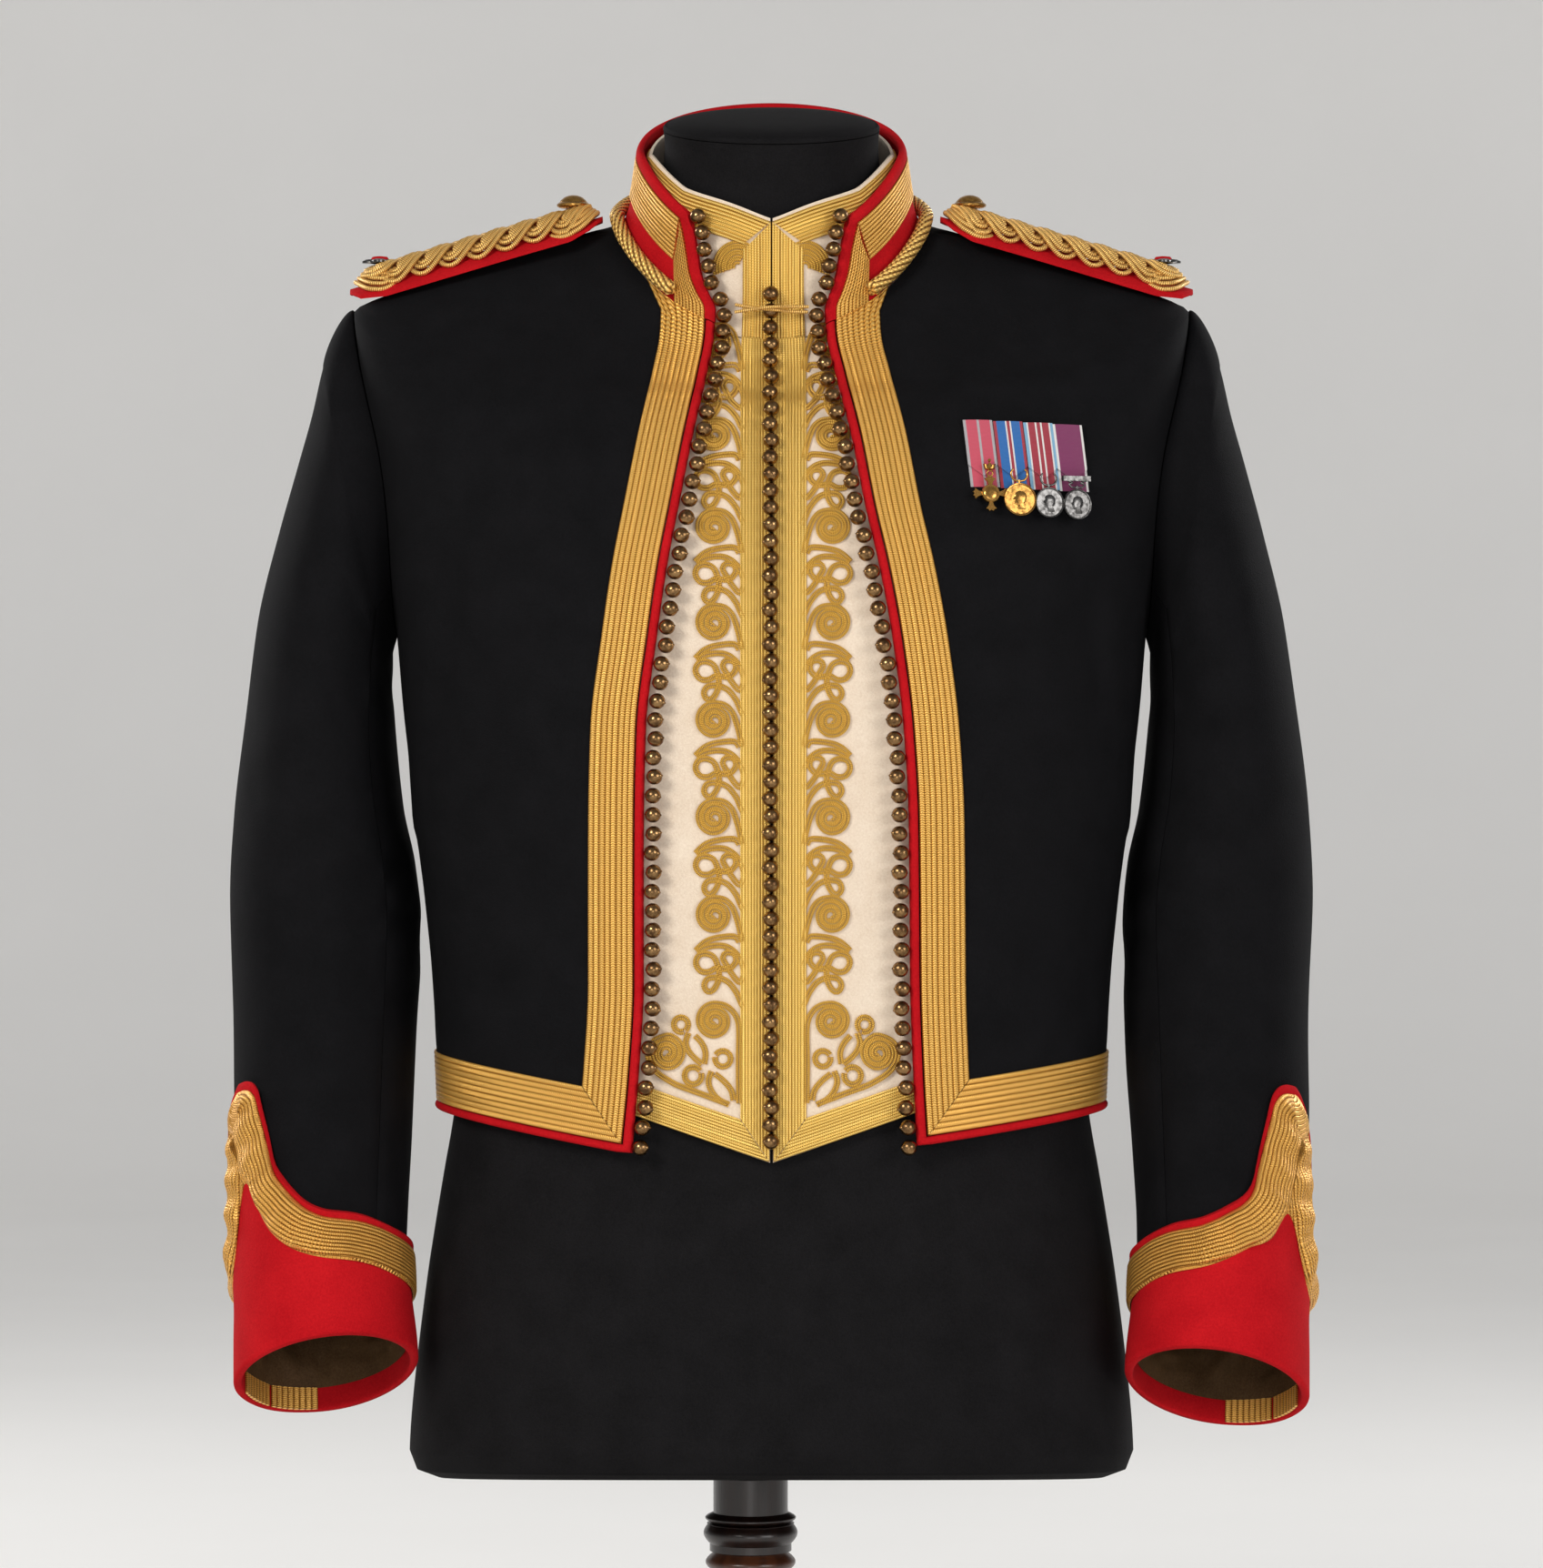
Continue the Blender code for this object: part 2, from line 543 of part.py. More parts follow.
for word, side in SIDES:
    turns, heights = [], []
    for k, row in enumerate(W_ROWS):
        end = waist_out(row) - W_SEAM
        reach = min(1.0, 9.4 * float(column(BODY, 1, row)))
        near = np.array([float(turn_at(x, row)) for x in (0.0008, 0.0182, 0.050 * reach, 0.090 * reach)])
        a = np.concatenate([near, near[-1] + (end - near[-1]) * np.linspace(0, 1, 4)[1:]])
        x = np.abs(skin(a, np.full(7, row))[..., 0])
        v = row + (waist_hem(x) - W_LIFT) * W_FADE[min(k, 4)]
        turns.append(a)
        heights.append(v)
    a, v = np.array(turns), np.array(heights)
    shell("waistcoat_front_" + word, off(a * side, v, WAISTCOAT),
          off(a * side, v, WAISTCOAT - 0.0016), "cream_wool")
    t, h = a[:2, :4] * side, v[:2, :4].copy()
    h[0] += 0.0002
    h[1] -= 0.0004
    shell("waistcoat_hem_lace_" + word, off(t, h, WAISTCOAT + 0.0011),
          off(t, h, WAISTCOAT + 0.0003), "gold_lace")
    t = np.array([[float(turn_at(x, row)) for x in (0.0034, 0.0178)] for row in W_ROWS[1:]])
    h = v[1:, :2].copy()
    h[0] += 0.0014
    shell("waistcoat_centre_lace_" + word, off(t * side, h, WAISTCOAT + 0.0012),
          off(t * side, h, WAISTCOAT + 0.0004), "gold_lace")
    rows, xs = [], []
    for k in range(27):
        z = 0.4700 + 0.0132 * k
        half = 0.0115 + 0.0022 * math.cos(2 * math.pi * (z - 0.4905) / 0.0525)
        rows.append([z, z])
        xs.append([0.0320 - half, 0.0320 + half])
    rows, xs = np.array(rows), np.array(xs) * side
    shell("waistcoat_braid_" + word, front(xs, rows, WAISTCOAT + 0.0010),
          front(xs, rows, WAISTCOAT + 0.0003), "gold_cord")

turns, heights = [], []
for k, row in enumerate(W_ROWS):
    lead = math.pi - waist_out(row) + W_SEAM
    turns.append(np.linspace(lead, 2 * math.pi - lead, 11))
    heights.append(np.full(11, row))
a, v = np.array(turns), np.array(heights)
shell("waistcoat_back", off(a, v, WAISTCOAT), off(a, v, WAISTCOAT - 0.0016), "cream_wool")

a = np.array([np.linspace(0.010, 2 * math.pi - 0.010, 41)] * 4)
rise = 0.0500 - np.minimum(0.0250 * np.sin(a[0] / 2) ** 2, 0.0130)
v = np.array([NECK + 0.0030 + rise * r for r in (0.0, 0.32, 0.68, 1.0)])
shell("waistcoat_collar", off(a, v, WAISTCOAT), off(a, v, WAISTCOAT - 0.0014), "cream_wool")
a = np.array([np.linspace(-1.20, 1.20, 21)] * 2)
rise = 0.0500 - np.minimum(0.0250 * np.sin(a[0] / 2) ** 2, 0.0130)
v = NECK + 0.0030 + np.array([rise * r for r in (0.60, 0.95)])
shell("waistcoat_collar_lace", off(a, v, WAISTCOAT + 0.0016), off(a, v, WAISTCOAT + 0.0007), "gold_lace")


# --- buttons and throat cord -------------------------------------------------
def beads(name, spots, out, slot):
    """A row of ball buttons strung edge to edge."""
    rings = []
    count = len(spots)
    centres = front(spots[:, 0], spots[:, 1], out)
    ahead = np.gradient(centres, axis=0)
    ahead /= np.linalg.norm(ahead, axis=1, keepdims=True)
    gap = float(np.linalg.norm(np.diff(centres, axis=0), axis=1).mean())
    for k in range(count):
        side_way = np.cross(ahead[k], (0, -1, 0))
        side_way /= np.linalg.norm(side_way)
        out_way = np.cross(side_way, ahead[k])
        for along, size in ((-0.42, 0.42), (0.0, 1.0), (0.42, 0.42)):
            if along == 0.42 and k < count - 1:
                continue
            ring = []
            for w in np.arange(4) * math.pi / 2 + math.pi / 4:
                ring.append(centres[k] + ahead[k] * along * gap
                            + 1.12 * BALL * size * (math.cos(w) * side_way + math.sin(w) * out_way))
            rings.append(ring)
    return tube(name, rings, slot)


for word, side in SIDES:
    z = np.linspace(0.9265, 0.4275, 52)
    x = edge_x(z, side) - 0.0101
    beads("button_row_" + word, np.stack([x * side, z], 1), 0.0014, "dark_brass")
z = np.linspace(0.8841, 0.4310, 51)
beads("button_row_centre", np.stack([np.full(51, -0.0004), z], 1), -0.0005, "dark_brass")

rings = []
for x in np.linspace(-0.0155, 0.0155, 7):
    c = front(x, 0.8765, 0.0066)
    around = np.arange(6) * math.pi / 3
    rings.append([c + np.array([0, 0.0010 * math.cos(w), 0.0018 * math.sin(w)]) for w in around])
tube("throat_cord", rings, "gold_cord")


# --- shoulder cords ----------------------------------------------------------
def strap(u, w, h, side):
    """A point of the shoulder strap: u along, w across in metres, h above its underside."""
    x = 0.0930 + 0.1385 * u
    z = 0.9290 - 0.0400 * u + h - np.where(w < 0, 13.0, -2.0) * w * w
    return np.stack([x * side + 0 * w, 0.004 + w, z], -1)


for word, side in SIDES:
    u = np.array([0.0, 0.05, 0.12, 0.35, 0.6, 0.85, 0.95, 1.0])
    half = np.array([0.012, 0.019, 0.024, 0.024, 0.0245, 0.025, 0.021, 0.013])
    across = np.linspace(-1, 1, 5)
    uu = np.repeat(u[:, None], 5, 1)
    ww = half[:, None] * across[None, :]
    shell("shoulder_backing_" + word, strap(uu, ww, 0.0032, side), strap(uu, ww, 0.0, side), "scarlet_wool")
    u = np.linspace(0.015, 0.985, 17)
    half = 0.0205 + 0.0014 * np.cos(np.arange(17) * math.pi)
    half[0] = half[-1] = 0.013
    uu = np.repeat(u[:, None], 5, 1)
    ww = half[:, None] * across[None, :]
    hump = 0.0045 + 0.0092 * np.sqrt(1 - 0.85 * across[None, :] ** 2)
    hump = hump + 0.0005 * np.cos(np.arange(17) * math.pi)[:, None]
    shell("shoulder_plait_" + word, strap(uu, ww, hump, side), strap(uu, ww, 0.0037, side), "gold_cord")
    for piece, u0, size, high, slot in (("shoulder_button_", 0.114, 0.0090, 0.0055, "gilt_metal"),
                                        ("shoulder_star_", 0.88, 0.0090, 0.0035, "silver_metal")):
        base = strap(np.array(u0), np.array(0.0), 0.0180, side)
        rings = []
        for r, h in ((1.0, 0.0), (1.0, 0.35), (0.72, 0.8), (0.3, 1.0)):
            rings.append([base + np.array([size * r * math.cos(w), size * r * math.sin(w), high * h])
                          for w in np.arange(10) * math.pi / 5])
        tube(piece + word, rings, slot)

# --- miniature medals --------------------------------------------------------
def chest(x, z, d):
    """A place on the left breast."""
    return front(x, z, d)


turns = np.linspace(0.1015, 0.1645, 5)
xs = np.array([turns, turns + 0.0015, turns + 0.003])
zs = np.array([np.full(5, 0.8120), np.full(5, 0.7930), np.full(5, 0.7745)])
shell("medal_ribbons", chest(xs, zs, 0.0042), chest(xs, zs, 0.0016), "ribbon_silk")
MEDALS = ((0.1150, 0.7725, "gilt_metal"), (0.1300, 0.7695, "gilt_metal"),
          (0.1455, 0.7685, "silver_metal"), (0.1595, 0.7680, "silver_metal"))
for k, (x, z, slot) in enumerate(MEDALS):
    lift = 0.0052 + 0.0022 * (k % 2)
    base = chest(x, z, lift)
    n = chest(x, z, lift + 0.001) - base
    n /= np.linalg.norm(n)
    up = np.array([0, 0, 1.0]) - n * n[2]
    up /= np.linalg.norm(up)
    right = np.cross(up, n)
    rings = []
    for out in (0.0, 0.0017):
        ring = []
        for w in range(16):
            t = w * math.pi / 8
            r = 0.0090
            if k == 0:
                r = 0.0092 if w % 4 == 0 else 0.0050
            ring.append(base + n * out + r * (math.cos(t) * right + math.sin(t) * up))
        rings.append(ring)
    tube("medal_" + str(k + 1), rings, slot, smooth=False)

# --- dress form and stand ----------------------------------------------------
FORM_LOW = (
    # height, half width, front depth, back depth
    (0.2400, 0.1830, 0.1040, 0.1120),
    (0.2445, 0.1945, 0.1145, 0.1235),
    (0.2550, 0.1985, 0.1185, 0.1275),
    (0.3000, 0.1950, 0.1150, 0.1240),
    (0.3600, 0.1875, 0.1100, 0.1150),
    (0.4150, 0.1785, 0.1045, 0.0985),
)
around = 24
angles = np.arange(around) * 2 * math.pi / around
rings = []
for z, half, fore, back in FORM_LOW:
    s, c = np.sin(angles), np.cos(angles)
    x = half * np.sign(s) * np.abs(s) ** (2 / 2.4)
    y = -np.where(c > 0, fore, back) * np.sign(c) * np.abs(c) ** (2 / 2.4)
    rise = 0.0105 * np.maximum(c, 0) * np.clip(1 - (z - 0.24) / 0.12, 0, 1)
    rings.append(np.stack([x, y, z + rise], -1))
for row, deep in ((0.455, 0.0108), (0.500, 0.0135), (0.560, 0.0145), (0.620, 0.0145),
                  (0.680, 0.0145), (0.740, 0.0145), (0.785, 0.0145), (0.820, 0.0145),
                  (0.846, 0.0180), (0.890, 0.0240), (0.902, 0.0200), (0.924, 0.0190)):
    rings.append(off(angles, np.full(around, row), -deep))
TILT = math.radians(16)


def neck_ring(half, along, deep_front, deep_back):
    """A ring of the form's neck, square to its forward lean."""
    s, c = np.sin(angles), np.cos(angles)
    x = half * s
    q = -np.where(c > 0, deep_front, deep_back) * c
    y = -0.004 - along * math.sin(TILT) + q * math.cos(TILT)
    z = 0.9500 + along * math.cos(TILT) + q * math.sin(TILT)
    return np.stack([x, y, z], -1)


rings.append(neck_ring(0.0605, 0.0, 0.0500, 0.0560))
rings.append(neck_ring(0.0592, 0.0290, 0.0490, 0.0550))
tube("form_body", rings, "black_cotton")
rings = [neck_ring(0.0592, 0.0295, 0.0490, 0.0550), neck_ring(0.0570, 0.0325, 0.0470, 0.0530),
         neck_ring(0.0430, 0.0350, 0.0350, 0.0400), neck_ring(0.0160, 0.0360, 0.0130, 0.0150)]
tube("form_neck_cap", rings, "black_cotton")

turned("stand_neck", ((0.0205, 0.2395), (0.0205, 0.2200), (0.0255, 0.2160), (0.0260, 0.2040),
                      (0.0225, 0.1990)), "dark_wood")
turned("stand_post", ((0.0205, 0.1985), (0.0245, 0.1930), (0.0205, 0.1880), (0.0200, 0.1500), (0.0225, 0.1150),
                      (0.0250, 0.0800), (0.0215, 0.0520), (0.0290, 0.0420), (0.0330, 0.0345)), "turned_wood")
turned("stand_base", ((0.1780, 0.0), (0.1800, 0.0040), (0.1800, 0.0120), (0.1700, 0.0180), (0.1300, 0.0230),
                      (0.0700, 0.0300), (0.0400, 0.0340)), "turned_wood", around=28)
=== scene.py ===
import bpy
import math
import numpy as np
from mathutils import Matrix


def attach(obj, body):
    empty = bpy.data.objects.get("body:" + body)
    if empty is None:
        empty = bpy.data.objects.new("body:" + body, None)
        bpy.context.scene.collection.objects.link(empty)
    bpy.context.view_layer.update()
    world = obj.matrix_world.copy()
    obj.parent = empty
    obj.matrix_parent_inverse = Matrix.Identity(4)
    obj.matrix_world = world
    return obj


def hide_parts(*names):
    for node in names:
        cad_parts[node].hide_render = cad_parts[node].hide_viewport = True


# The looks of a mess dress jacket and its waistcoat on a limbless dress form.
# Metres, front to -Y, up +Z; "left" and "right" are the wearer's, left being +X.
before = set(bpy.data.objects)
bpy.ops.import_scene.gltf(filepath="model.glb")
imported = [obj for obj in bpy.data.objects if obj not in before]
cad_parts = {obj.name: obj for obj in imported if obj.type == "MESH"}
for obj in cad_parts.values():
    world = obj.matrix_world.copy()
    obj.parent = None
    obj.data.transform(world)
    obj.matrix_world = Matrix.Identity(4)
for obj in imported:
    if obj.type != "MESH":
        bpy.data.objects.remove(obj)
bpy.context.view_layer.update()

HEM = 0.4477                 # side height of the jacket's hem seam
NECK = 0.926                 # side height of the neck seam
COLLAR_TOP = 0.968           # side height of the jacket collar's top edge
ARMPIT = 0.700
SHOULDER = 0.880
HALF_PI = math.pi / 2
CLOTH = 0.002                # wall of the jacket cloth
EDGING = 0.005               # width of the scarlet edging
FRONT_LACE = 0.0243          # width of the gold lace down each front
HEM_LACE = 0.0270            # height of the gold lace round the hem
LACE_SEAT = 0.0003           # how far the back of the lace lies off its cloth
BALL = 0.0043                # radius of a ball button
WAISTCOAT = -0.0060          # outer face of the waistcoat, measured from the jacket's
DROP_LEFT = 0.007            # how much lower the left cuff hangs
POST = -0.0115               # the post stands a little to the right of the form's middle
SIDES = (("left", 1), ("right", -1))

# side height, half width, front depth, back depth, centre y, front drop, back lift, squareness
BODY = (
    (0.380, 0.1800, 0.1150, 0.1030, 0.000, 0.000, 0.000, 2.40),
    (0.444, 0.1825, 0.1165, 0.1030, 0.000, 0.000, 0.000, 2.40),
    (0.511, 0.1860, 0.1190, 0.1040, 0.000, 0.000, 0.000, 2.40),
    (0.562, 0.1910, 0.1220, 0.1070, 0.001, 0.000, 0.000, 2.40),
    (0.600, 0.1955, 0.1240, 0.1100, 0.002, 0.000, 0.000, 2.45),
    (0.659, 0.2015, 0.1260, 0.1150, 0.003, 0.000, 0.000, 2.55),
    (0.708, 0.2065, 0.1260, 0.1190, 0.004, 0.002, 0.000, 2.70),
    (0.757, 0.2120, 0.1235, 0.1225, 0.004, 0.010, -0.002, 2.85),
    (0.800, 0.2180, 0.1170, 0.1235, 0.004, 0.022, -0.008, 2.95),
    (0.835, 0.2240, 0.1085, 0.1215, 0.004, 0.034, -0.020, 2.95),
    (0.860, 0.2275, 0.0995, 0.1190, 0.004, 0.044, -0.034, 2.85),
    (0.880, 0.2290, 0.0900, 0.1160, 0.004, 0.053, -0.040, 2.70),
    (0.890, 0.2000, 0.0830, 0.1100, 0.005, 0.057, -0.028, 2.50),
    (0.902, 0.1600, 0.0765, 0.1010, 0.006, 0.060, -0.010, 2.30),
    (0.914, 0.1240, 0.0715, 0.0890, 0.008, 0.062, 0.010, 2.15),
    (0.926, 0.0835, 0.0680, 0.0750, 0.008, 0.063, 0.028, 2.00),
    (0.968, 0.0722, 0.0560, 0.0640, -0.006, 0.0560, 0.0335, 2.00),
    (0.990, 0.0670, 0.0490, 0.0570, -0.013, 0.0520, 0.0355, 2.00),
)

# height, right front lace edge, left front lace edge (distance from the middle)
EDGE = (
    (0.4290, 0.0790, 0.0825),
    (0.4650, 0.0755, 0.0803),
    (0.5154, 0.0727, 0.0785),
    (0.5540, 0.0727, 0.0782),
    (0.6020, 0.0725, 0.0776),
    (0.6500, 0.0713, 0.0748),
    (0.6980, 0.0655, 0.0688),
    (0.7364, 0.0599, 0.0617),
    (0.7672, 0.0540, 0.0546),
    (0.8058, 0.0467, 0.0473),
    (0.8400, 0.0398, 0.0395),
    (0.8650, 0.0358, 0.0345),
    (0.8765, 0.0355, 0.0342),
    (0.8857, 0.0397, 0.0374),
    (0.8959, 0.0435, 0.0405),
    (0.9085, 0.0455, 0.0426),
    (0.9184, 0.0472, 0.0448),
    (0.9311, 0.0506, 0.0480),
)

# distance from the rim, inner x and z, outer x and z, centre y, half depth, pitch in degrees
SLEEVE = (
    (0.000, 0.1925, 0.3105, 0.2865, 0.2955, -0.066, 0.0490, 29.5),
    (0.076, 0.1980, 0.3720, 0.2895, 0.3600, -0.040, 0.0540, 21.0),
    (0.141, 0.1965, 0.4300, 0.2930, 0.4250, -0.018, 0.0590, 16.0),
    (0.202, 0.1950, 0.4825, 0.2955, 0.4880, 0.000, 0.0650, 10.0),
    (0.265, 0.1930, 0.5400, 0.2980, 0.5545, 0.012, 0.0700, 5.0),
    (0.309, 0.1965, 0.5750, 0.2955, 0.6060, 0.015, 0.0730, 0.0),
    (0.351, 0.2035, 0.6070, 0.2900, 0.6590, 0.015, 0.0750, 0.0),
    (0.392, 0.2070, 0.6380, 0.2830, 0.7095, 0.014, 0.0760, 0.0),
    (0.428, 0.2085, 0.6600, 0.2705, 0.7590, 0.012, 0.0750, 0.0),
    (0.454, 0.2090, 0.6750, 0.2605, 0.7940, 0.010, 0.0720, 0.0),
    (0.474, 0.2090, 0.6840, 0.2525, 0.8230, 0.008, 0.0680, 0.0),
    (0.491, 0.2090, 0.6910, 0.2465, 0.8495, 0.006, 0.0625, 0.0),
    (0.505, 0.2085, 0.6960, 0.2390, 0.8725, 0.005, 0.0560, 0.0),
)

# degrees from the middle of the cuff's tongue (less than 0 is toward the front), top edge, lace's lower edge
CUFF = (
    (-180.0, 0.0740, 0.0420),
    (-122.0, 0.0750, 0.0430),
    (-82.0, 0.0810, 0.0490),
    (-64.0, 0.0835, 0.0515),
    (-53.0, 0.0880, 0.0550),
    (-42.0, 0.0960, 0.0610),
    (-34.0, 0.1035, 0.0670),
    (-28.0, 0.1120, 0.0720),
    (-24.0, 0.1275, 0.0755),
    (-19.0, 0.1440, 0.0810),
    (-14.0, 0.1590, 0.0880),
    (-8.0, 0.1640, 0.0980),
    (-3.0, 0.1650, 0.1020),
    (3.0, 0.1650, 0.0960),
    (8.0, 0.1630, 0.0860),
    (14.0, 0.1580, 0.0740),
    (19.0, 0.1460, 0.0670),
    (23.0, 0.1300, 0.0620),
    (26.0, 0.1170, 0.0600),
    (29.0, 0.1070, 0.0585),
    (33.0, 0.0980, 0.0575),
    (40.0, 0.0900, 0.0565),
    (55.0, 0.0850, 0.0555),
    (90.0, 0.0810, 0.0525),
    (122.0, 0.0780, 0.0480),
    (180.0, 0.0740, 0.0420),
)
TONGUE = {1: 134.0, -1: 145.0}    # ring angle of the tongue: 90 is the front, 180 the outside

HOME = bpy.data.collections.new("mess_dress_jacket_looks")
bpy.context.scene.collection.children.link(HOME)


# --- the garment's forms ---------------------------------------------------------
def smooth_line(xs, ys, x):
    """Monotone smooth interpolation through a table, straight beyond its ends."""
    xs = np.asarray(xs, float)
    ys = np.asarray(ys, float)
    x = np.asarray(x, float)
    h = np.diff(xs)
    d = np.diff(ys) / h
    m = np.empty_like(ys)
    m[0] = d[0]
    m[-1] = d[-1]
    for k in range(1, len(xs) - 1):
        if d[k - 1] * d[k] > 0:
            w1 = 2 * h[k] + h[k - 1]
            w2 = h[k] + 2 * h[k - 1]
            m[k] = (w1 + w2) / (w1 / d[k - 1] + w2 / d[k])
        else:
            m[k] = 0.0
    i = np.clip(np.searchsorted(xs, x) - 1, 0, len(xs) - 2)
    t = (x - xs[i]) / h[i]
    low = ys[0] + m[0] * (x - xs[0])
    high = ys[-1] + m[-1] * (x - xs[-1])
    mid = (ys[i] * (1 + 2 * t) * (1 - t) ** 2 + m[i] * h[i] * t * (1 - t) ** 2
           + ys[i + 1] * t * t * (3 - 2 * t) + m[i + 1] * h[i] * t * t * (t - 1))
    return np.where(x < xs[0], low, np.where(x > xs[-1], high, mid))


def column(table, k, x):
    """One named column of a table read at x."""
    return smooth_line([row[0] for row in table], [row[k] for row in table], x)


def skin(a, v):
    """The jacket's outer face: a is the turn from the front, v the height at the side."""
    a, v = np.broadcast_arrays(np.asarray(a, float), np.asarray(v, float))
    half, front_deep, back_deep, mid, drop, lift, power = [column(BODY, k, v) for k in range(1, 8)]
    s, c = np.sin(a), np.cos(a)
    q = 2.0 / power
    x = half * np.sign(s) * np.abs(s) ** q
    y = mid - np.where(c > 0, front_deep, back_deep) * np.sign(c) * np.abs(c) ** q
    rise = np.clip((v - NECK) / (COLLAR_TOP - NECK), 0, 1)
    steep = 1.5 - 0.4 * np.clip((v - 0.906) / 0.018, 0, 1) - 0.15 * rise
    z = v - drop * np.maximum(c, 0) ** (1.3 + 0.2 * rise) + lift * np.maximum(-c, 0) ** steep
    return np.stack([x, y, z], -1)


def face_normal(a, v):
    """The way the jacket's outer face looks."""
    e = 2e-4
    across = skin(a + 20 * e, v) - skin(a - 20 * e, v)
    up = skin(a, v + e) - skin(a, v - e)
    n = np.cross(across, up)
    return n / np.linalg.norm(n, axis=-1, keepdims=True)


def off(a, v, d):
    """A point held d outside the jacket's outer face."""
    a, v, d = np.broadcast_arrays(np.asarray(a, float), np.asarray(v, float), np.asarray(d, float))
    return skin(a, v) + face_normal(a, v) * d[..., None]


def turn_at(x, v):
    """The turn on the front at which the face is x from the middle."""
    ratio = np.clip(np.abs(x) / column(BODY, 1, v), 0, 1)
    return np.sign(x) * np.arcsin(ratio ** (column(BODY, 7, v) / 2))


def spot(x, z):
    """Turn and side height of the place on the front seen at x, z."""
    x, z = np.broadcast_arrays(np.asarray(x, float), np.asarray(z, float))
    low = np.full(x.shape, 0.36)
    high = np.full(x.shape, 1.02)
    for _ in range(30):
        v = (low + high) / 2
        under = skin(turn_at(x, v), v)[..., 2] < z
        low = np.where(under, v, low)
        high = np.where(under, high, v)
    return turn_at(x, v), v


def front(x, z, d):
    """A point on the front seen at x, z and held d off the jacket's face."""
    a, v = spot(x, z)
    return off(a, v, d)


def edge_x(z, side):
    """Where the front lace begins; side is +1 for the left and -1 for the right."""
    return column(EDGE, 2 if side > 0 else 1, z)


def edge_turn(v, side, more=0.0):
    """The turn of the front edge, or of a line further from it, on the loop v."""
    a = np.full(np.shape(v), 0.4)
    for _ in range(12):
        z = skin(a, v)[..., 2]
        a = turn_at(edge_x(z, side) + more, v)
    return a


def hem_height(a, side):
    """The height of the hem seam, which falls toward the front corner."""
    corner = 0.4333 if side > 0 else 0.4296
    x = np.abs(skin(a, np.full(np.shape(a), HEM))[..., 0])
    t = np.clip((x - 0.080) / (0.1825 - 0.080), 0, 1)
    return np.where(np.cos(a) > 0, corner + (HEM - corner) * t, HEM)


def armhole(t, front_side):
    """Turn of the armhole's edge; t runs 0 at the armpit to 1 at the shoulder."""
    t = np.asarray(t, float)
    v = ARMPIT + (SHOULDER - ARMPIT) * t
    deep = np.sin(math.pi * np.clip(t, 0, 1)) ** 0.6
    reach = np.where(front_side, 0.050, 0.056) * deep
    depth = np.where(front_side, column(BODY, 2, v), column(BODY, 3, v))
    a = np.arccos(np.clip(reach / depth, 0, 1) ** (column(BODY, 7, v) / 2))
    return np.where(front_side, a, math.pi - a), v


def arm(ang, d, out, side):
    """A sleeve point: ang is 0 inside, a quarter at the front, half outside; d is up from the rim."""
    ang, d, out = np.broadcast_arrays(np.asarray(ang, float), np.asarray(d, float), np.asarray(out, float))
    xi, zi, xo, zo, yc, deep, pitch = [column(SLEEVE, k, d) for k in range(1, 8)]
    drop = DROP_LEFT * np.clip(1 - d / 0.30, 0, 1) if side > 0 else 0.0
    wide = np.hypot(xo - xi, zo - zi) / 2
    ux, uz = (xo - xi) / (2 * wide), (zo - zi) / (2 * wide)
    pitch = np.radians(pitch)
    p = -np.cos(ang) * (wide + out)
    q = np.sin(ang) * (deep + out)
    x = (xi + xo) / 2 + p * ux
    y = yc - q * np.cos(pitch)
    z = (zi + zo) / 2 + p * uz + q * np.sin(pitch) - drop
    return np.stack([x * side, y, z], -1)


def arm_start(ang, side, inward):
    """The sleeve's first ring, on the edge of the armhole."""
    t = (1 - np.cos(ang)) / 2
    a, v = armhole(t, np.sin(ang) > 0)
    p = off(a * side, v, 0.0006)
    centre = np.array([0.214 * side, 0.006, 0.790])
    away = centre - p
    away[..., 0] = 0.0
    away /= np.linalg.norm(away, axis=-1, keepdims=True)
    return p + away * inward


def creases(x, y, folds):
    """Soft troughs and ridges along short lines: x0, y0, x1, y1, width, depth."""
    total = np.zeros(np.shape(x))
    for x0, y0, x1, y1, width, depth in folds:
        dx, dy = x1 - x0, y1 - y0
        near = np.clip(((x - x0) * dx + (y - y0) * dy) / (dx * dx + dy * dy), 0, 1)
        gap = np.hypot(x - x0 - near * dx, y - y0 - near * dy)
        total = total + depth * np.exp(-(gap / width) ** 2)
    return total


def ripple(x, y, size, seed=0.0):
    """A gentle unevenness between -1 and 1 with swells about size across."""
    k = 2 * math.pi / size
    return (np.sin(k * x + 1.3 * np.sin(0.7 * k * y + seed) + seed)
            + np.sin(0.83 * k * y + 1.7 * np.sin(0.55 * k * x + 2.0 * seed) + 2.3)) / 2


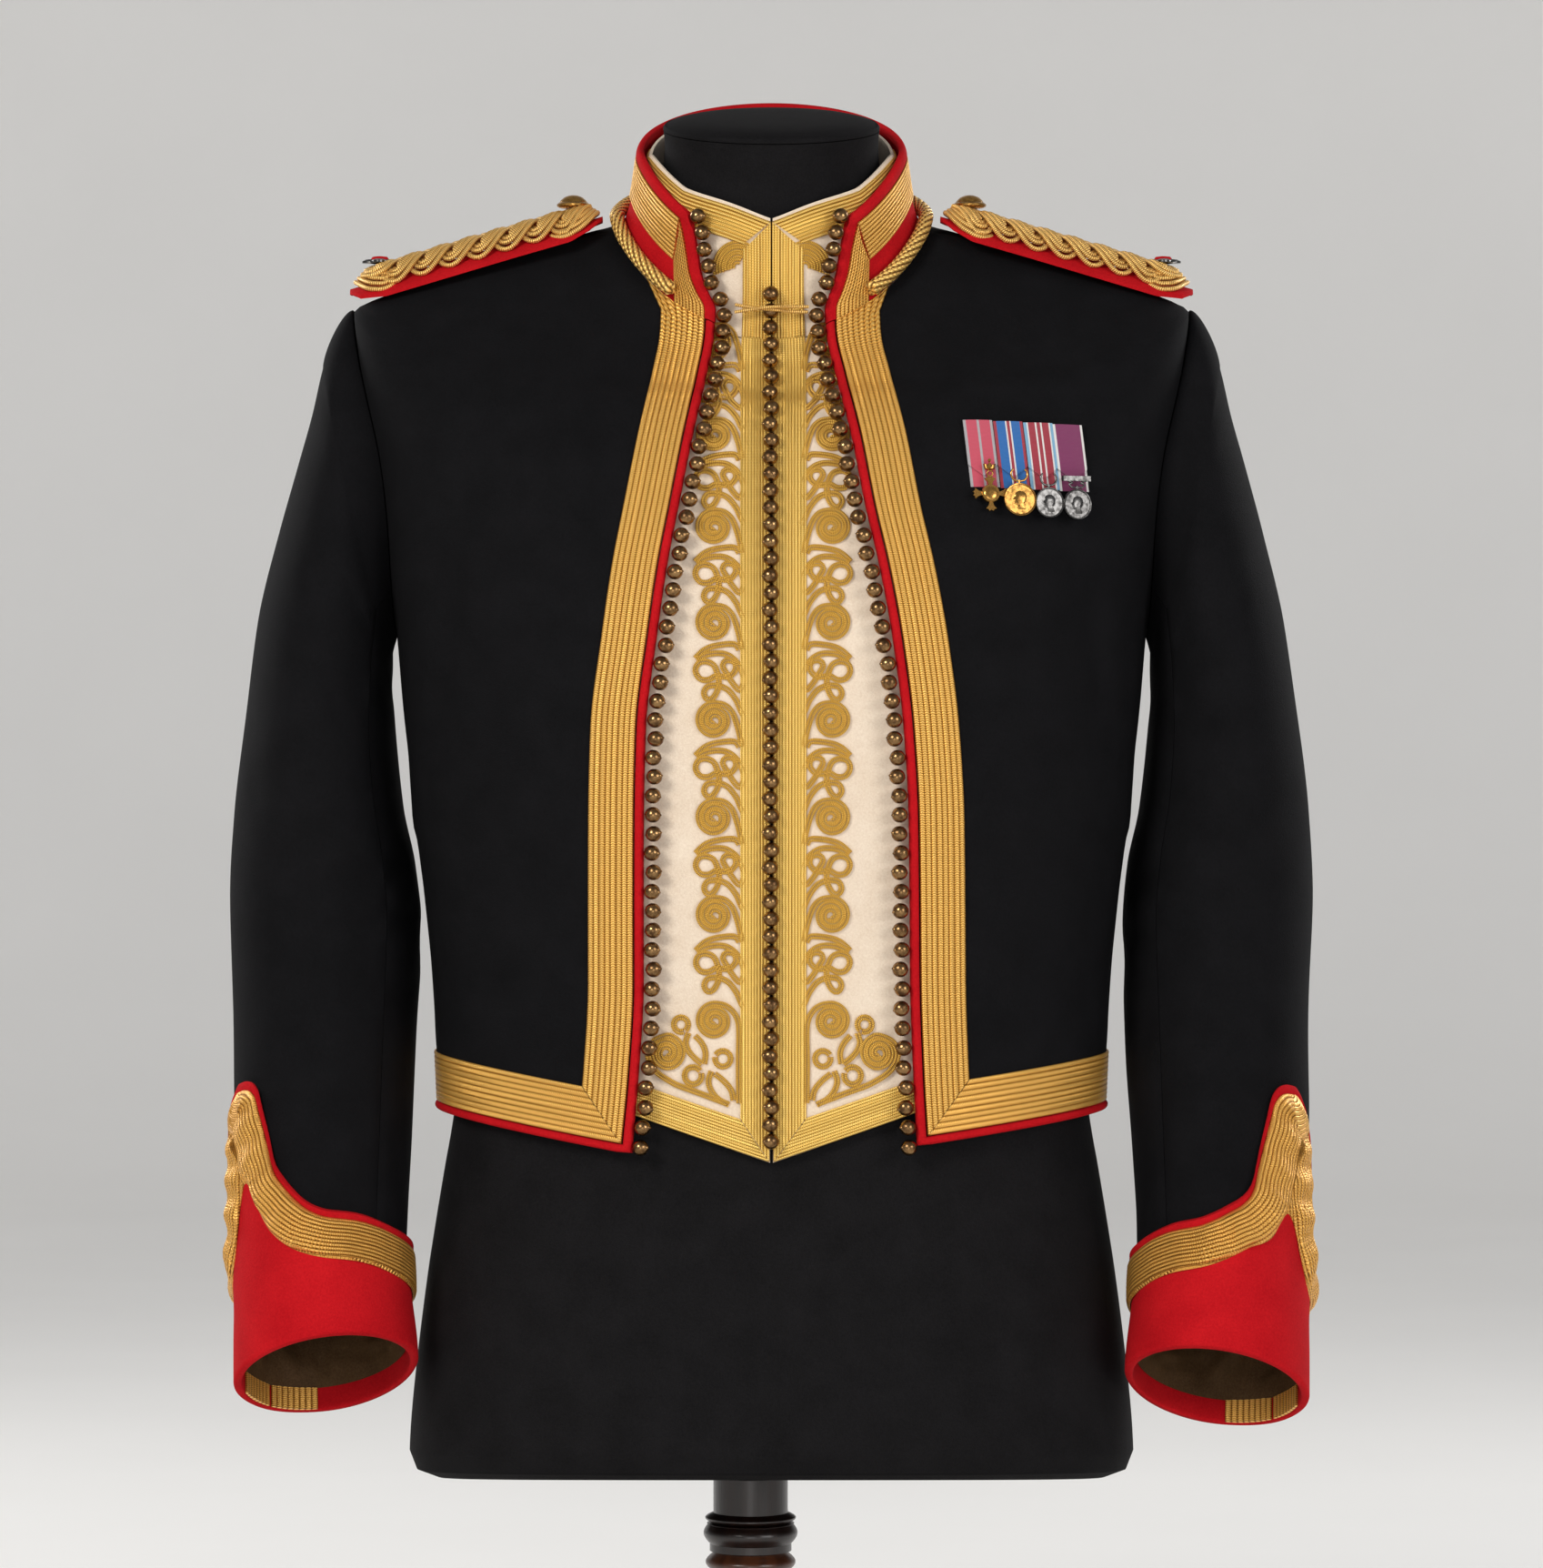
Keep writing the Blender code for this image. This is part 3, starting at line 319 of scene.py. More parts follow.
# --- mesh making -------------------------------------------------------------------
class Build:
    """Closed bodies of four-sided faces, gathered into one mesh with lengths in metres as UVs."""

    def __init__(self):
        self.points, self.faces, self.uvs, self.marks, self.count = [], [], [], [], 0

    def net(self, index, u, v, mark):
        """Faces between the rows and columns of an index grid."""
        def corners(g):
            return np.stack([g[:-1, :-1], g[:-1, 1:], g[1:, 1:], g[1:, :-1]], -1).reshape(-1, 4)
        uvs = np.stack([corners(u), corners(v)], -1)
        marks = np.full((index.shape[0] - 1) * (index.shape[1] - 1), mark)
        return corners(index), uvs, marks

    def add(self, points, nets):
        """Put in one body, turned so that its faces look out."""
        faces = np.concatenate([n[0] for n in nets])
        uvs = np.concatenate([n[1] for n in nets])
        a, b, c, d = [points[faces[:, k]] for k in range(4)]
        mid = points.mean(0)
        volume = np.einsum("ij,ij->i", a - mid,
                           np.cross(b - mid, c - mid) + np.cross(c - mid, d - mid)).sum()
        if volume < 0:
            faces, uvs = faces[:, ::-1], uvs[:, ::-1]
        self.points.append(points)
        self.faces.append(faces + self.count)
        self.uvs.append(uvs)
        self.marks.append(np.concatenate([n[2] for n in nets]))
        self.count += len(points)

    def shell(self, outer, inner, u, v, wrap=False, mark=0, under=None):
        """A wall between two matching grids; u and v have one more column where it wraps."""
        rows, cols = outer.shape[:2]
        under = mark if under is None else under
        top = np.arange(rows * cols).reshape(rows, cols)
        if wrap:
            top = np.concatenate([top, top[:, :1]], 1)
        low = top + rows * cols
        nets = [self.net(top, u, v, mark), self.net(low[:, ::-1], u[:, ::-1], v[:, ::-1], under)]
        nets.append(self.net(np.stack([low[0], top[0]]), np.stack([u[0]] * 2), np.stack([v[0]] * 2), mark))
        nets.append(self.net(np.stack([top[-1], low[-1]]), np.stack([u[-1]] * 2),
                             np.stack([v[-1]] * 2), mark))
        if not wrap:
            nets.append(self.net(np.stack([top[:, 0], low[:, 0]]), np.stack([u[:, 0]] * 2),
                                 np.stack([v[:, 0]] * 2), mark))
            nets.append(self.net(np.stack([low[:, -1], top[:, -1]]), np.stack([u[:, -1]] * 2),
                                 np.stack([v[:, -1]] * 2), mark))
        self.add(np.concatenate([outer.reshape(-1, 3), inner.reshape(-1, 3)]), nets)

    def tube(self, rings, along=None, mark=0):
        """A closed body through matching rings; u runs 0 to 1 round it and v is its length."""
        rings = np.asarray(rings, float)
        ends = [rings[:1].mean(1, keepdims=True).repeat(rings.shape[1], 1),
                rings[-1:].mean(1, keepdims=True).repeat(rings.shape[1], 1)]
        rings = np.concatenate([ends[0], rings, ends[1]])
        count, around = rings.shape[:2]
        if along is None:
            middle = rings.mean(1)
            along = np.concatenate([[0.0], np.cumsum(np.linalg.norm(np.diff(middle, axis=0), axis=1))])
        else:
            along = np.concatenate([along[:1], along, along[-1:]])
        index = np.arange(count * around).reshape(count, around)
        index = np.concatenate([index, index[:, :1]], 1)
        u = np.tile(np.linspace(0, 1, around + 1), (count, 1))
        self.add(rings.reshape(-1, 3), [self.net(index, u, np.tile(along[:, None], (1, around + 1)), mark)])

    def object(self, name, materials, nodes=(), sharp=50):
        """The finished piece, standing for its CAD nodes and riding on the one body."""
        points = np.concatenate(self.points)
        faces = np.concatenate(self.faces)
        mesh = bpy.data.meshes.new(name)
        mesh.vertices.add(len(points))
        mesh.vertices.foreach_set("co", points.astype(np.float32).ravel())
        mesh.loops.add(faces.size)
        mesh.loops.foreach_set("vertex_index", faces.astype(np.int32).ravel())
        mesh.polygons.add(len(faces))
        mesh.polygons.foreach_set("loop_start", np.arange(0, faces.size, 4, dtype=np.int32))
        mesh.polygons.foreach_set("material_index", np.concatenate(self.marks).astype(np.int32))
        layer = mesh.uv_layers.new(name="lengths")
        layer.uv.foreach_set("vector", np.concatenate(self.uvs).astype(np.float32).ravel())
        mesh.update(calc_edges=True)
        mesh.shade_smooth()
        mesh.set_sharp_from_angle(angle=math.radians(sharp))
        for material in materials:
            mesh.materials.append(material)
        piece = bpy.data.objects.new(name, mesh)
        HOME.objects.link(piece)
        if nodes:
            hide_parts(*nodes)
        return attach(piece, "root")


def lengths(points, axis):
    """Running length along the rows (axis 0) or the columns (axis 1) of a grid of points."""
    step = np.linalg.norm(np.diff(points, axis=axis), axis=-1)
    start = np.zeros_like(np.take(step, [0], axis=axis))
    return np.concatenate([start, np.cumsum(step, axis=axis)], axis=axis)


def spline(points, step):
    """A smooth line through points, with a point about every step."""
    p = np.asarray(points, float)
    p = np.concatenate([[2 * p[0] - p[1]], p, [2 * p[-1] - p[-2]]])
    made = []
    for k in range(1, len(p) - 2):
        a, b, c, d = p[k - 1], p[k], p[k + 1], p[k + 2]
        count = max(int(round(np.linalg.norm(c - b) / step)), 1)
        t = np.linspace(0, 1, count, endpoint=False)[:, None]
        made.append(b + 0.5 * t * (c - a) + t ** 2 * (a - 2.5 * b + 2 * c - 0.5 * d)
                    + t ** 3 * (1.5 * (b - c) + 0.5 * (d - a)))
    return np.concatenate(made + [p[-2:-1]])


def unit(p):
    """The same directions at a length of one."""
    return p / np.linalg.norm(p, axis=-1, keepdims=True)


def rope_rings(path, radius, around, normal):
    """Rings round a path, the first point of each on the side of the normal."""
    path = np.asarray(path, float)
    ahead = unit(np.gradient(path, axis=0))
    side_way = unit(np.cross(ahead, normal))
    out = np.cross(side_way, ahead)
    w = np.linspace(0, 2 * math.pi, around, endpoint=False)
    radius = np.broadcast_to(np.asarray(radius, float), (len(path),))[:, None, None]
    turn = np.cos(w)[None, :, None] * out[:, None] + np.sin(w)[None, :, None] * side_way[:, None]
    return path[:, None] + radius * turn


# --- materials ---------------------------------------------------------------------
def node(tree, kind, inputs=None, **settings):
    """A node with its settings, and with its inputs set or linked."""
    made = tree.nodes.new(kind)
    for key, value in settings.items():
        setattr(made, key, value)
    for key, value in (inputs or {}).items():
        if isinstance(value, bpy.types.NodeSocket):
            tree.links.new(value, made.inputs[key])
        else:
            made.inputs[key].default_value = value
    return made


def calc(tree, operation, *values):
    """A maths node's result."""
    return node(tree, "ShaderNodeMath", dict(enumerate(values)), operation=operation).outputs[0]


def blend(tree, factor, first, second):
    """One colour fading into another."""
    made = node(tree, "ShaderNodeMix", {"Factor": factor}, data_type="RGBA")
    for k, value in ((6, first), (7, second)):
        if isinstance(value, bpy.types.NodeSocket):
            tree.links.new(value, made.inputs[k])
        else:
            made.inputs[k].default_value = value
    return made.outputs[2]


def group(name, inputs, outputs):
    """An empty shader group with named inputs and outputs."""
    tree = bpy.data.node_groups.new(name, "ShaderNodeTree")
    for label, kind, value in inputs:
        made = tree.interface.new_socket(label, in_out="INPUT", socket_type="NodeSocket" + kind)
        if value is not None:
            made.default_value = value
    for label, kind in outputs:
        tree.interface.new_socket(label, in_out="OUTPUT", socket_type="NodeSocket" + kind)
    return tree, node(tree, "NodeGroupInput").outputs, node(tree, "NodeGroupOutput").inputs


def wool_group():
    """Milled wool: a short nap, finer fibres and faint cloudiness."""
    tree, given, result = group("wool_nap",
                                [("Vector", "Vector", None), ("Cloth", "Color", (0.5, 0.5, 0.5, 1)),
                                 ("Fleck", "Color", (0.6, 0.6, 0.6, 1))],
                                [("Color", "Color"), ("Height", "Float")])
    cloud = node(tree, "ShaderNodeTexNoise", {"Vector": given["Vector"], "Scale": 45.0, "Detail": 3.0})
    nap = node(tree, "ShaderNodeTexNoise",
               {"Vector": given["Vector"], "Scale": 900.0, "Detail": 4.0, "Roughness": 0.7})
    fine = node(tree, "ShaderNodeTexNoise", {"Vector": given["Vector"], "Scale": 2600.0, "Detail": 2.0})
    spread = calc(tree, "ADD", calc(tree, "MULTIPLY", cloud.outputs[0], 0.35),
                  calc(tree, "MULTIPLY", nap.outputs[0], 0.65))
    shade = node(tree, "ShaderNodeMapRange", {"Value": spread, "From Min": 0.36, "From Max": 0.66})
    tree.links.new(blend(tree, shade.outputs[0], given["Cloth"], given["Fleck"]), result["Color"])
    tree.links.new(calc(tree, "ADD", nap.outputs[0], calc(tree, "MULTIPLY", fine.outputs[0], 0.6)),
                   result["Height"])
    return tree


def lace_group():
    """Woven metal lace: chains of slanting stitches in columns, with holes between them that are sunk and
    painted dark as shade, and a painted highlight on the threads' tops.
    """
    tree, given, result = group("lace_weave", [("Vector", "Vector", None), ("Columns", "Float", 320.0),
                                               ("Stitch", "Float", 0.0013),
                                               ("Gap", "Color", (0.2, 0.1, 0.02, 1)),
                                               ("Thread", "Color", (0.7, 0.45, 0.12, 1)),
                                               ("Light", "Color", (0.95, 0.75, 0.35, 1))],
                                [("Color", "Color"), ("Height", "Float"), ("Open", "Float")])
    parts = node(tree, "ShaderNodeSeparateXYZ", {"Vector": given["Vector"]}).outputs
    across = calc(tree, "MULTIPLY", parts[0], given["Columns"])
    place = calc(tree, "SUBTRACT", calc(tree, "FRACT", across), 0.5)
    away = calc(tree, "MULTIPLY", calc(tree, "ABSOLUTE", place), 2.0)
    wander = node(tree, "ShaderNodeTexNoise",
                  {"Vector": given["Vector"], "Scale": 260.0, "Detail": 1.0}).outputs[0]
    count = calc(tree, "ADD", calc(tree, "DIVIDE", parts[1], given["Stitch"]),
                 calc(tree, "MULTIPLY", wander, 0.35))
    slant = calc(tree, "FRACT", calc(tree, "ADD", count, calc(tree, "MULTIPLY", away, 0.55)))
    stitch = calc(tree, "SINE", calc(tree, "MULTIPLY", slant, math.pi))
    square = calc(tree, "MULTIPLY", calc(tree, "MULTIPLY", away, away), 0.96)
    rib = calc(tree, "SQRT", calc(tree, "SUBTRACT", 1.0, square))
    height = calc(tree, "MULTIPLY", rib, calc(tree, "ADD", 0.45, calc(tree, "MULTIPLY", stitch, 0.55)))
    # painted shade: the holes between the stitches are sunk in the relief and filled with the dark gap
    # colour
    hole_and_painted_shade = node(tree, "ShaderNodeMapRange",
                {"Value": calc(tree, "SUBTRACT", away, calc(tree, "MULTIPLY", stitch, 0.46)),
                 "From Min": 0.40, "From Max": 0.80}).outputs[0]
    # painted highlight: the highest parts of the threads turn to the highlight colour
    painted_highlight_mask = node(tree, "ShaderNodeMapRange",
                  {"Value": height, "From Min": 0.50, "From Max": 0.98}).outputs[0]
    lit = blend(tree, painted_highlight_mask, given["Thread"], given["Light"])
    tree.links.new(blend(tree, hole_and_painted_shade, lit, given["Gap"]), result["Color"])
    tree.links.new(calc(tree, "SUBTRACT", height, calc(tree, "MULTIPLY", hole_and_painted_shade, 0.5)), result["Height"])
    tree.links.new(hole_and_painted_shade, result["Open"])
    return tree


def gimp_group():
    """Wire thread wound slantwise round a cord, coloured with painted light: painted shade in the grooves
    between the winds and a painted highlight on their tops; U runs once round it and V along it.
    """
    tree, given, result = group("gimp_wrap",
                                [("Vector", "Vector", None), ("Winds", "Float", 1400.0),
                                 ("Slant", "Float", 1.0),
                                 ("Thread", "Color", (0.7, 0.45, 0.12, 1)),
                                 ("Light", "Color", (0.95, 0.75, 0.35, 1))],
                                [("Color", "Color"), ("Height", "Float")])
    parts = node(tree, "ShaderNodeSeparateXYZ", {"Vector": given["Vector"]}).outputs
    turns = calc(tree, "ADD", calc(tree, "MULTIPLY", parts[1], given["Winds"]),
                 calc(tree, "MULTIPLY", parts[0], given["Slant"]))
    wave = calc(tree, "SINE", calc(tree, "MULTIPLY", calc(tree, "FRACT", turns), math.pi))
    # painted light: the thread colour lies in the grooves as painted shade, and the highlight colour sits on
    # the tops of the winds as a painted highlight
    painted_light_mask = node(tree, "ShaderNodeMapRange", {"Value": wave, "From Min": 0.15, "From Max": 0.9}).outputs[0]
    tree.links.new(blend(tree, painted_light_mask, given["Thread"], given["Light"]), result["Color"])
    tree.links.new(wave, result["Height"])
    return tree


def wear_group():
    """Metal that has darkened in clouds, and the roughness that goes with it."""
    tree, given, result = group("metal_wear", [("Vector", "Vector", None), ("Size", "Float", 300.0),
                                               ("Clean", "Color", (0.8, 0.6, 0.2, 1)),
                                               ("Dull", "Color", (0.2, 0.1, 0.05, 1)),
                                               ("Share", "Float", 0.5)],
                                [("Color", "Color"), ("Roughness", "Float")])
    cloud = node(tree, "ShaderNodeTexNoise",
                 {"Vector": given["Vector"], "Scale": given["Size"], "Detail": 4.0}).outputs[0]
    shift = calc(tree, "ADD", cloud, calc(tree, "SUBTRACT", given["Share"], 0.5))
    dark = node(tree, "ShaderNodeMapRange", {"Value": shift, "From Min": 0.35, "From Max": 0.65}).outputs[0]
    tree.links.new(blend(tree, dark, given["Clean"], given["Dull"]), result["Color"])
    tree.links.new(calc(tree, "ADD", 0.20, calc(tree, "MULTIPLY", dark, 0.16)), result["Roughness"])
    return tree


def grain_group():
    """Wood grain that runs up the post."""
    tree, given, result = group("wood_grain",
                                [("Vector", "Vector", None), ("Early", "Color", (0.3, 0.1, 0.04, 1)),
                                 ("Late", "Color", (0.1, 0.03, 0.01, 1))],
                                [("Color", "Color"), ("Height", "Float")])
    long = node(tree, "ShaderNodeMapping", {"Vector": given["Vector"], "Scale": (1.0, 1.0, 0.12)}).outputs[0]
    bands = node(tree, "ShaderNodeTexWave", {"Vector": long, "Scale": 28.0, "Distortion": 6.0, "Detail": 3.0,
                                             "Detail Scale": 3.0}, bands_direction="X").outputs["Fac"]
    pores = node(tree, "ShaderNodeTexNoise", {"Vector": long, "Scale": 900.0, "Detail": 3.0}).outputs[0]
    mixed = calc(tree, "ADD", calc(tree, "MULTIPLY", bands, 0.6), calc(tree, "MULTIPLY", pores, 0.4))
    tree.links.new(blend(tree, mixed, given["Early"], given["Late"]), result["Color"])
    tree.links.new(pores, result["Height"])
    return tree


GROUPS = {"wool": wool_group(), "lace": lace_group(), "gimp": gimp_group(), "wear": wear_group(),
          "grain": grain_group()}


def material(name, roughness=0.5, metallic=0.0, sheen=0.0, coat=0.0):
    """A Principled material and the means to fill it in."""
    made = bpy.data.materials.new(name)
    made.use_nodes = True
    tree = made.node_tree
    shader = tree.nodes["Principled BSDF"]
    shader.inputs["Roughness"].default_value = roughness
    shader.inputs["Metallic"].default_value = metallic
    shader.inputs["Sheen Weight"].default_value = sheen
    shader.inputs["Sheen Roughness"].default_value = 0.6
    shader.inputs["Coat Weight"].default_value = coat
    return made, tree, shader


def effect(tree, kind, **values):
    """One of the shared groups, put to use in a material."""
    made = node(tree, "ShaderNodeGroup", node_tree=GROUPS[kind])
    for key, value in values.items():
        if isinstance(value, bpy.types.NodeSocket):
            tree.links.new(value, made.inputs[key])
        else:
            made.inputs[key].default_value = value
    return made.outputs


def bump(tree, shader, height, distance, strength=1.0):
    """Relief of a surface, with its depth in metres."""
    made = node(tree, "ShaderNodeBump", {"Height": height, "Distance": distance, "Strength": strength})
    tree.links.new(made.outputs[0], shader.inputs["Normal"])


def place_of(tree, kind):
    """Object places in metres, or the UV lengths."""
    return node(tree, "ShaderNodeTexCoord").outputs[kind]


def wool(name, cloth, fleck, sheen=0.15, roughness=0.9, depth=0.00025):
    made, tree, shader = material(name, roughness, sheen=sheen)
    shader.inputs["Specular IOR Level"].default_value = 0.1
    out = effect(tree, "wool", Vector=place_of(tree, "Object"), Cloth=cloth, Fleck=fleck)
    tree.links.new(out["Color"], shader.inputs["Base Color"])
    bump(tree, shader, out["Height"], depth)
    return made


# the gap colour is painted shade in the lace's holes; the last colour is a painted highlight on its threads
def lace(name, columns, stitch, gap, thread, highlight, metallic=0.6, roughness=0.36, depth=0.0006):
    made, tree, shader = material(name, roughness, metallic)
    out = effect(tree, "lace", Vector=place_of(tree, "UV"), Columns=columns, Stitch=stitch, Gap=gap,
                 Thread=thread, Light=highlight)
    tree.links.new(out["Color"], shader.inputs["Base Color"])
    bump(tree, shader, out["Height"], depth)
    return made


# the thread colour is painted shade in the grooves between the winds; the last colour is a painted highlight
# on them
def gimp(name, winds, slant, thread, highlight, metallic=0.5, roughness=0.38, depth=0.0002):
    made, tree, shader = material(name, roughness, metallic)
    out = effect(tree, "gimp", Vector=place_of(tree, "UV"), Winds=winds, Slant=slant, Thread=thread,
                 Light=highlight)
    tree.links.new(out["Color"], shader.inputs["Base Color"])
    bump(tree, shader, out["Height"], depth)
    return made


def metal(name, clean, dull, share, size=300.0):
    made, tree, shader = material(name, metallic=1.0)
    out = effect(tree, "wear", Vector=place_of(tree, "Object"), Size=size, Clean=clean, Dull=dull,
                 Share=share)
    tree.links.new(out["Color"], shader.inputs["Base Color"])
    tree.links.new(out["Roughness"], shader.inputs["Roughness"])
    return made


def wood(name, early, late, roughness):
    made, tree, shader = material(name, roughness, coat=0.35)
    shader.inputs["Coat Roughness"].default_value = 0.2
    out = effect(tree, "grain", Vector=place_of(tree, "Object"), Early=early, Late=late)
    tree.links.new(out["Color"], shader.inputs["Base Color"])
    bump(tree, shader, out["Height"], 0.0001)
    return made


BLACK = wool("black_barathea", (0.0034, 0.0034, 0.0040, 1), (0.0072, 0.0070, 0.0082, 1), sheen=0.0)
SCARLET = wool("scarlet_cloth", (0.42, 0.0035, 0.008, 1), (0.58, 0.009, 0.014, 1), sheen=0.0)
CREAM = wool("cream_cloth", (0.74, 0.60, 0.46, 1), (0.88, 0.76, 0.62, 1), sheen=0.05)
COTTON = wool("black_cotton", (0.0050, 0.0048, 0.0052, 1), (0.0105, 0.0100, 0.0110, 1), sheen=0.0,
              depth=0.00015)
LINING = wool("tan_lining_cloth", (0.050, 0.026, 0.011, 1), (0.105, 0.060, 0.026, 1), sheen=0.0,
              roughness=0.6, depth=0.0001)
# lace colours: gap (painted shade in the holes), thread, and a painted highlight on the thread tops
LACE = lace("gold_front_lace", 328.0, 0.00125, (0.30, 0.115, 0.012, 1), (0.78, 0.37, 0.050, 1),
            (1.0, 0.62, 0.17, 1))
CUFF_LACE = lace("gold_cuff_lace", 410.0, 0.00125, (0.20, 0.070, 0.008, 1), (0.72, 0.33, 0.045, 1),
                 (1.0, 0.58, 0.15, 1))
FINE_LACE = lace("gold_waistcoat_lace", 610.0, 0.00115, (0.34, 0.14, 0.012, 1), (0.82, 0.47, 0.070, 1),
                 (1.0, 0.72, 0.22, 1), depth=0.0004)
# gimp colours: thread (painted shade in the grooves between the winds) and a painted highlight on the winds
CORD = gimp("gold_gimp", 900.0, 1.0, (0.42, 0.17, 0.020, 1), (1.0, 0.65, 0.20, 1), depth=0.0003)
BRAID = gimp("gold_russia_braid", 1100.0, 1.0, (0.38, 0.150, 0.010, 1), (0.98, 0.60, 0.11, 1),
             metallic=0.35, depth=0.0004)
ROPE = gimp("gold_collar_cord", 620.0, 2.0, (0.20, 0.075, 0.008, 1), (1.0, 0.64, 0.18, 1), depth=0.0007)
BRASS = metal("dark_ball_brass", (0.34, 0.20, 0.085, 1), (0.10, 0.052, 0.024, 1), 0.5)
GILT = metal("gilt", (0.54, 0.29, 0.075, 1), (0.19, 0.09, 0.022, 1), 0.4, 500.0)
SILVER = metal("silver", (0.15, 0.147, 0.143, 1), (0.055, 0.053, 0.051, 1), 0.45, 500.0)
DARK_WOOD = wood("dark_stained_wood", (0.014, 0.005, 0.003, 1), (0.005, 0.002, 0.0015, 1), 0.35)
LIGHT_WOOD = wood("turned_wood", (0.085, 0.026, 0.009, 1), (0.034, 0.010, 0.004, 1), 0.35)

# --- the jacket's body -------------------------------------------------------------
SEAM = 0.0012                # half the turn left open at a seam

# folds of a front: x and height of both ends, width, depth
FRONT_FOLDS = (
    (0.172, 0.730, 0.184, 0.640, 0.011, -0.0030),
    (0.184, 0.700, 0.192, 0.600, 0.008, 0.0020),
    (0.150, 0.700, 0.160, 0.620, 0.016, -0.0012),
    (0.110, 0.555, 0.170, 0.528, 0.016, -0.0012),
    (0.120, 0.600, 0.178, 0.585, 0.018, 0.0010),
    (0.105, 0.800, 0.125, 0.700, 0.030, 0.0014),
    (0.125, 0.500, 0.176, 0.482, 0.013, 0.0009),
)
# folds of the back: distance from the middle and height of both ends, width, depth
BACK_FOLDS = (
    (0.168, 0.720, 0.180, 0.620, 0.012, -0.0030),
    (0.150, 0.750, 0.165, 0.640, 0.012, 0.0018),
    (0.030, 0.590, 0.120, 0.570, 0.014, -0.0020),
    (0.050, 0.560, 0.150, 0.548, 0.012, 0.0014),
    (0.040, 0.535, 0.140, 0.520, 0.012, -0.0016),
    (0.080, 0.800, 0.130, 0.760, 0.018, -0.0012),
    (0.020, 0.880, 0.080, 0.868, 0.010, -0.0016),
)


def fade(row):
    """How far a row keeps to the fall of the hem."""
    return np.clip(1 - (row - HEM - HEM_LACE) / 0.09, 0, 1)


def outer_turns(rows, front_side):
    """The panel's outer boundary: side seam, armhole or shoulder seam."""
    inside = (rows > ARMPIT) & (rows < SHOULDER)
    t = np.clip((rows - ARMPIT) / (SHOULDER - ARMPIT), 0, 1)
    return np.where(inside, armhole(t, front_side)[0], HALF_PI)


def front_places(side, rows, shares):
    """Turns and heights on a front; shares run 0 at the front edge to 1 at the seam."""
    end = outer_turns(rows, True) - SEAM
    v = np.repeat(rows[:, None], len(shares), 1)
    for _ in range(3):
        start = edge_turn(v[:, 0], side, 0.0004)
        a = start[:, None] + (end - start)[:, None] * shares
        v = rows[:, None] + (hem_height(a, side) - HEM) * fade(rows)[:, None]
    return a, v


def shoulder_pad(a, v):
    """The padded rise along the shoulder seam."""
    near = np.clip((v - 0.880) / 0.009, 0, 1) * np.clip((0.9256 - v) / 0.004, 0, 1)
    return 0.0044 * near * near * (3 - 2 * near) * np.exp(-((np.abs(a) - HALF_PI) / 0.45) ** 2)


def front_shape(a, v):
    """How far the cloth of a front stands out from its plain form."""
    p = skin(a, v)
    still = np.clip((np.abs(p[..., 0]) - 0.085) / 0.05, 0, 1)
    folds = creases(p[..., 0], p[..., 2], FRONT_FOLDS)
    return shoulder_pad(a, v) + folds + 0.0007 * still * ripple(p[..., 0], p[..., 2], 0.11)


def back_shape(a, v):
    """How far the cloth of the back stands out from its plain form."""
    p = skin(a, v)
    still = np.clip((p[..., 2] - 0.49) / 0.05, 0, 1)
    folds = creases(np.abs(p[..., 0]), p[..., 2], BACK_FOLDS)
    return shoulder_pad(a, v) + still * (folds + 0.0008 * ripple(p[..., 0], p[..., 2], 0.10, 1.0))


def ribs(t, count, height):
    """A profile of rounded ribs across a band, t running 0 to 1."""
    return height * np.abs(np.sin(math.pi * count * t)) ** 0.6


ROWS = np.unique(np.concatenate([np.linspace(HEM, ARMPIT, 40), np.linspace(ARMPIT, SHOULDER, 50),
                                 np.linspace(SHOULDER, NECK - 0.0004, 20)]))
SHARES = np.linspace(0, 1, 38)


def lace_wall(made, a, v, rise, seat, u, along=None):
    """A band of lace over the points at turns a and heights v; its back lies at seat."""
    outer = off(a, v, np.broadcast_to(rise, a.shape))
    inner = off(a, v, np.full(a.shape, seat))
    made.shell(outer, inner, np.broadcast_to(u, a.shape), lengths(outer, 1) if along is None else along)


def jacket_front(word, side):
    a, v = front_places(side, ROWS, SHARES)
    shape = front_shape(a, v)
    fall = np.clip((SHARES - 0.02) / 0.2, 0, 1)[None, :] * np.clip((1 - SHARES) / 0.06, 0, 1)[None, :]
    shape = shape * fall
    outer = off(a * side, v, shape)
    inner = off(a * side, v, shape - CLOTH)
    made = Build()
    made.shell(outer, inner, lengths(outer, 1), lengths(outer, 0))
    return made.object(f"front_{word}", [BLACK], [f"jacket_front_{word}"])


def jacket_back(word, side):
    start = outer_turns(ROWS, False) + SEAM
    a = start[:, None] + (math.pi - 0.0005 - start)[:, None] * SHARES
    v = np.repeat(ROWS[:, None], len(SHARES), 1)
    fall = np.clip(SHARES / 0.06, 0, 1)[None, :]
    seam = -0.0004 * np.exp(-((math.pi - a) / 0.012) ** 2)
    shape = back_shape(a, v) * fall + seam
    outer = off(a * side, v, shape)
    inner = off(a * side, v, shape - CLOTH)
    made = Build()
    made.shell(outer, inner, lengths(outer, 1), lengths(outer, 0))
    return made.object(f"back_{word}", [BLACK], [f"jacket_back_{word}"])


